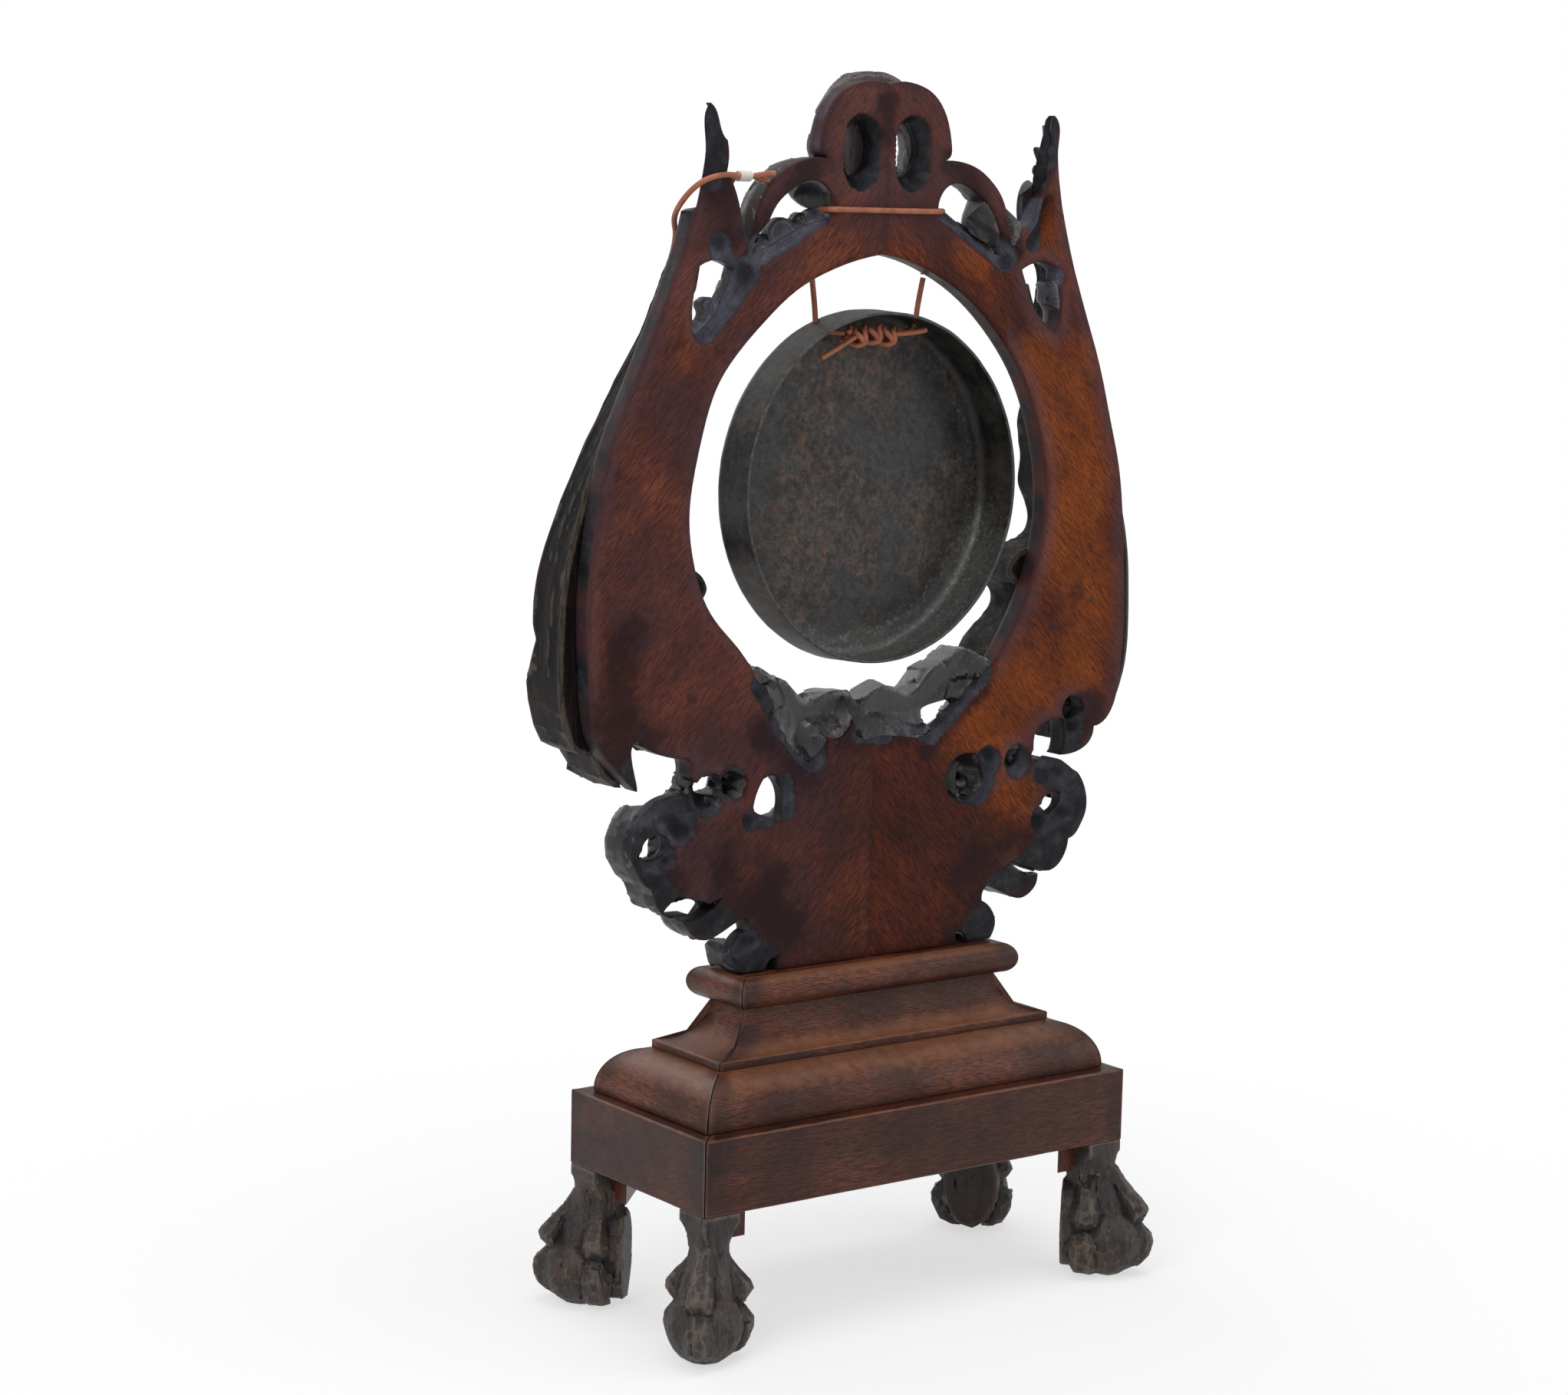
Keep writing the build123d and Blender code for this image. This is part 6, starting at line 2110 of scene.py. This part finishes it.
    def _carve(self, skin: Skin) -> Skin:
        """Cut the facets of the knife, crack the wood and hold the flats flat.

        Formula: flat facets everywhere below the pad; thin upright cracks where a stretched ripple is near
        zero; then the top, the floor, the sawn back and the pad's four sides are held to their planes.

        Args:
            skin: the joined foot in local millimetres.

        Returns:
            The carved foot with its values.
        """
        points = skin.points * MM
        seed = int(self.side_x * 3 + self.side_y * 7 + 20)
        normals = skin.normals()
        low = ease(points[:, 2], 0.098, 0.090)
        points = hew(Skin(points, skin.faces), self.facet, 0.95 * low, seed).points
        crack = np.abs(ripple(points * np.array([1.0, 1.0, 0.14]), 0.018, seed + 3))
        deep = ease(ripple(points, 0.03, seed + 4), 0.2, 0.6)
        press = 0.0014 * np.clip(1.0 - crack / 0.07, 0.0, 1.0) * deep * low
        points = points - normals * press[:, None]
        local = points / MM
        local[:, 0] = np.maximum(local[:, 0], self.sawn)
        local[:, 2] = np.clip(local[:, 2], 0.0, self.height)
        pad = skin.points[:, 2] > self.pad_low
        size = np.abs(local[:, 0] - self.shift) + np.abs(local[:, 1])
        scale = np.where(pad & (size > self.half), self.half / np.maximum(size, 1e-6), 1.0)
        local[:, 0] = self.shift + (local[:, 0] - self.shift) * scale
        local[:, 1] *= scale
        skin.points = local
        metres = Skin(local * MM, skin.faces)
        skin.values["worn"] = np.maximum(ease(metres.relief(14), 0.0001, 0.0009),
                                         ease(metres.relief(3), 0.0001, 0.0004))
        # Painted shade in the foot's deep places.
        skin.values["hollow"] = ease(-metres.relief(34), 0.0001, 0.0011)
        return skin


# ---------------------------------------------------------------- gong
@dataclass
class GongPan:
    """The beaten pan: a flat face with a soft corner and a deep rim, and two lace holes."""

    place: GongPlace
    radius: float = 132.0
    wall: float = 2.4
    corner: float = 9.0
    depth: float = 39.5
    taper: float = 1.0
    hole: float = 3.2
    drilled: tuple[float, float] = (0.105, 0.150)
    around: int = 320

    def build(self, finishes: Finishes) -> None:
        """Spin the pan, beat it, hang it and drill the lace holes down through its rim."""
        made = make_piece("gong_beaten_pan", self._pan(), "gong", finishes.bronze,
                          ["gong_pan"], 50.0)
        bore(made, [self._drill(across) for across in self.place.holes])

    def _section(self) -> np.ndarray:
        """Give the closed half section as radius, depth and which face: 0 outside, 1 lip, 2 inside.

        Formula: from the middle of the struck face out to the corner's quarter round, back along the rim
        to its rounded lip, and in again a wall's thickness inside.

        Returns:
            Rows of radius, depth from the struck face, and face.
        """
        turn = np.linspace(0, math.pi / 2, 14)
        outer, inner = self.corner, self.corner - self.wall
        start = self.radius - outer
        face = [(r, 0.0, 0) for r in np.linspace(0.6, start - 1, 56)]
        face += [(start + outer * math.sin(t), outer - outer * math.cos(t), 0) for t in turn]
        rim = [(self.radius - self.taper * s, outer + (self.depth - outer) * s, 0)
               for s in np.linspace(0.06, 0.96, 22)]
        mouth, half = self.radius - self.taper, self.wall / 2
        lip = [(mouth - half - half * math.sin(t), self.depth - 1.2 + 1.2 * math.cos(t), 1)
               for t in np.linspace(-math.pi / 2, math.pi / 2, 8)]
        back = [(r - self.wall, y, 2) for r, y, _ in reversed(rim)]
        back += [(start + inner * math.sin(t), outer - inner * math.cos(t), 2) for t in turn[::-1]]
        back += [(r, self.wall, 2) for r, _, _ in reversed(face[:56])]
        return np.array(face + rim + lip + back)

    def _pan(self) -> Skin:
        """Turn the section round the pan's axis and beat it with a hammer.

        Formula: the axis runs front to back; each point moves along its normal by soft dents, the same on
        the inside and the outside, and the rim waves a little.

        Returns:
            The pan, placed, in metres.
        """
        section = self._section()
        turn = np.linspace(0, 2 * math.pi, self.around, endpoint=False)
        radius, depth = section[:, :1], section[:, 1:2]
        dents = self._dents(radius * np.cos(turn), radius * np.sin(turn), depth)
        flat = ease(radius, 6.0, 16.0)
        rim = ease(radius, self.radius - 5.0, self.radius - 2.0)
        depth = depth + dents * (1 - rim) * flat
        size = radius + dents * rim * 0.45
        x, z = size * np.cos(turn), size * np.sin(turn)
        y = np.broadcast_to(depth, x.shape)
        skin = closed_rows(np.stack([x, y, z], -1) * MM)
        kind = np.concatenate([np.repeat(section[:, 2], self.around), [0.0, 2.0]])
        far = np.hypot(skin.points[:, 0], skin.points[:, 2]) / MM
        deep = skin.points[:, 1] / MM
        skin.values["lip"] = (kind == 1) * 1.0
        within = ease(far, self.radius - 12.0, self.radius - 7.0) * ease(deep, 4.0, 10.0) * (kind > 0)
        skin.values["rim"] = within + ease(deep, 5.0, 12.0) * (kind == 0)
        # How far each inside point faces the light: its lit side takes the painted highlight "ring", with a
        # painted highlight line round the whole inside corner, and its dark side the painted shade "deep".
        side = (-skin.points[:, 0] * 0.35 - skin.points[:, 2] * 0.94) / MM / np.maximum(far, 1.0)
        bright = ease(side, 0.35, 0.95) * (kind > 1)
        ring = np.exp(-((far - 121.0) / 9.0) ** 2) + ease(far, 118.0, 124.0) * ease(deep, 34.0, 12.0)
        line = 0.25 * (kind > 1) * np.exp(-((far - 118.0) / 4.0) ** 2)
        skin.values["ring"] = np.clip(ring * bright, 0.0, 1.0) + line
        skin.values["deep"] = (kind > 1) * ease(far, 122.0, 127.0) * ease(side, 0.60, 0.25)
        skin.points = np.stack(self.place.spot(*(skin.points / MM).T), -1) * MM
        return skin.outward()

    def _dents(self, x: np.ndarray, z: np.ndarray, depth: np.ndarray) -> np.ndarray:
        """Give the hammer's dents in millimetres at each place of the pan."""
        plan = np.stack([x.ravel(), np.broadcast_to(depth, x.shape).ravel() * 0.6, z.ravel()], -1) * MM
        soft = 0.30 * ripple(plan, 0.055, 5) + 0.22 * ripple(plan, 0.024, 6)
        blows = np.maximum(0.35 - gouges(plan[:, 0] / 0.017, plan[:, 2] / 0.017, 7), 0.0) * 1.1
        small = np.maximum(0.30 - gouges(plan[:, 0] / 0.008, plan[:, 2] / 0.008, 9), 0.0) * 0.5
        return (soft - blows - small).reshape(x.shape)

    def _drill(self, across: float) -> Skin:
        """Stand the drill of one lace hole, so far across, through the rim's top."""
        drill = lathe(np.full(2, self.hole) * MM, np.array(self.drilled), 32)
        drill.points = drill.points + np.array(self.place.spot(across, self.place.hole_inset, 0.0)) * MM
        return drill


# ---------------------------------------------------------------- beater
@dataclass
class Beater:
    """The beater behind the strap: turned handle, hide-covered head and bound neck."""

    hang: Point = (150.0, -33.3, 761.4)
    tilt: float = math.radians(-11.2)
    top: float = 9.0
    tip: float = -229.0
    thick: float = 6.0
    thin: float = 4.5
    head_level: float = -210.0
    head_length: float = 49.0
    head_radius: float = 21.5
    binding_level: float = -183.7

    def build(self, finishes: Finishes) -> None:
        """Turn the handle, cover the head and bind the neck."""
        self._handle(finishes)
        self._cover(finishes)
        self._binding(finishes)
        dress_node("beater_head", finishes.handle)

    def _put(self, skin: Skin) -> Skin:
        """Turn a skin in local millimetres about X and hang it."""
        x, y, z = skin.points.T
        turned = np.stack([x, y * math.cos(self.tilt) - z * math.sin(self.tilt),
                           y * math.sin(self.tilt) + z * math.cos(self.tilt)], -1)
        skin.points = (turned + np.array(self.hang)) * MM
        return skin.outward()

    def _handle(self, finishes: Finishes) -> None:
        """Turn the handle and bore its hanging hole.

        Formula: a round end, a slow taper to the tip, and two small grooves below the hanging hole.
        """
        levels = np.concatenate([self.top - self.thick * (1 - np.sin(np.linspace(0, math.pi / 2, 9))) * 0.9,
                                 np.linspace(self.top - 8.0, self.tip, 150)])
        levels = np.sort(np.unique(np.round(levels, 4)))[::-1]
        share = (self.top - levels) / (self.top - self.tip)
        radii = self.thick + share * (self.thin - self.thick)
        end = np.clip((self.top - levels) / self.thick, 0.0, 1.0)
        radii = radii * np.sqrt(1.0 - (1.0 - end) ** 2 * 0.98)
        radii -= 0.5 * (np.exp(-((levels + 16.0) / 0.9) ** 2) + np.exp(-((levels + 20.5) / 0.9) ** 2))
        radii *= np.where(levels < self.tip + 3.0, 0.9, 1.0)
        skin = lathe(radii, levels, 36)
        made = make_piece("beater_turned_handle", self._put(skin), "beater", finishes.handle,
                          ["beater_handle"], 40.0)
        drill = lathe(np.full(2, 2.4), np.array([-12.0, 12.0]), 24)
        drill.points = drill.points[:, [2, 0, 1]]
        bore(made, [self._put(drill)])

    def _cover(self, finishes: Finishes) -> None:
        """Pull the hide cover over the head.

        Formula: a barrel whose radius is the head's times a high-power ellipse of its level, with pleats
        that run to both ends and one seam.
        """
        share = np.linspace(-1, 1, 72)
        angle = np.linspace(0, 2 * math.pi, 160, endpoint=False)
        form = np.maximum(1.0 - np.abs(share) ** 3.2, 0.0) ** 0.5
        radius = np.maximum((self.head_radius - 0.6) * form, 6.6)[:, None]
        near_end = ease(np.abs(share), 0.55, 1.0)[:, None]
        pleats = 0.5 + 0.5 * np.cos(angle * 16 + 0.8 * np.sin(share[:, None] * 3.0))
        radius = radius - near_end * pleats * 1.3
        seam = np.exp(-((angle - 2.4) / 0.045) ** 2)
        radius = radius - 0.7 * seam * (1 - near_end)
        level = self.head_level + share[:, None] * (self.head_length / 2 - 0.5) * np.ones_like(radius)
        rings = np.stack([radius * np.cos(angle), radius * np.sin(angle), level], -1)
        made = make_piece("beater_hide_cover", self._put(closed_rows(rings)), "beater",
                          finishes.wool, ["beater_cover"], 60.0)

    def _binding(self, finishes: Finishes) -> None:
        """Wind thin leather round the neck: a helix of a small round section."""
        low, high = self.binding_level - 3.4, self.binding_level + 3.4
        angle = np.linspace(0, 2 * math.pi * 5, 5 * 36)
        level = np.linspace(low, high, len(angle))
        path = np.stack([6.3 * np.cos(angle), 6.3 * np.sin(angle), level], -1)
        wound = join([tube(path, 0.85, 8), lathe(np.full(2, 6.3), np.array([low, high]), 36)])
        make_piece("beater_neck_binding", self._put(wound), "beater", finishes.binding,
                   ["beater_binding"], 45.0)


# ---------------------------------------------------------------- making
def main() -> None:
    """Build every sub-assembly in order."""
    logging.basicConfig(level=logging.INFO, format="%(name)s: %(message)s")
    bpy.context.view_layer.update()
    Studio().build()
    finishes = Finishes()
    place = GongPlace()
    Lace(place).build(finishes)
    Strap().build(finishes)
    board = LyreBoard()
    board.build(finishes)
    for plank in carved_planks():
        plank.build(board, finishes)
    Plinth().build(finishes)
    for name, side_x, side_y in (("back_right", 1, 1), ("back_left", -1, 1), ("front_right", 1, -1),
                                 ("front_left", -1, -1)):
        ClawFoot(name, side_x, side_y).build(finishes)
    GongPan(place).build(finishes)
    Beater().build(finishes)
    log.info("every piece is made")


if __name__ == "__main__":
    main()
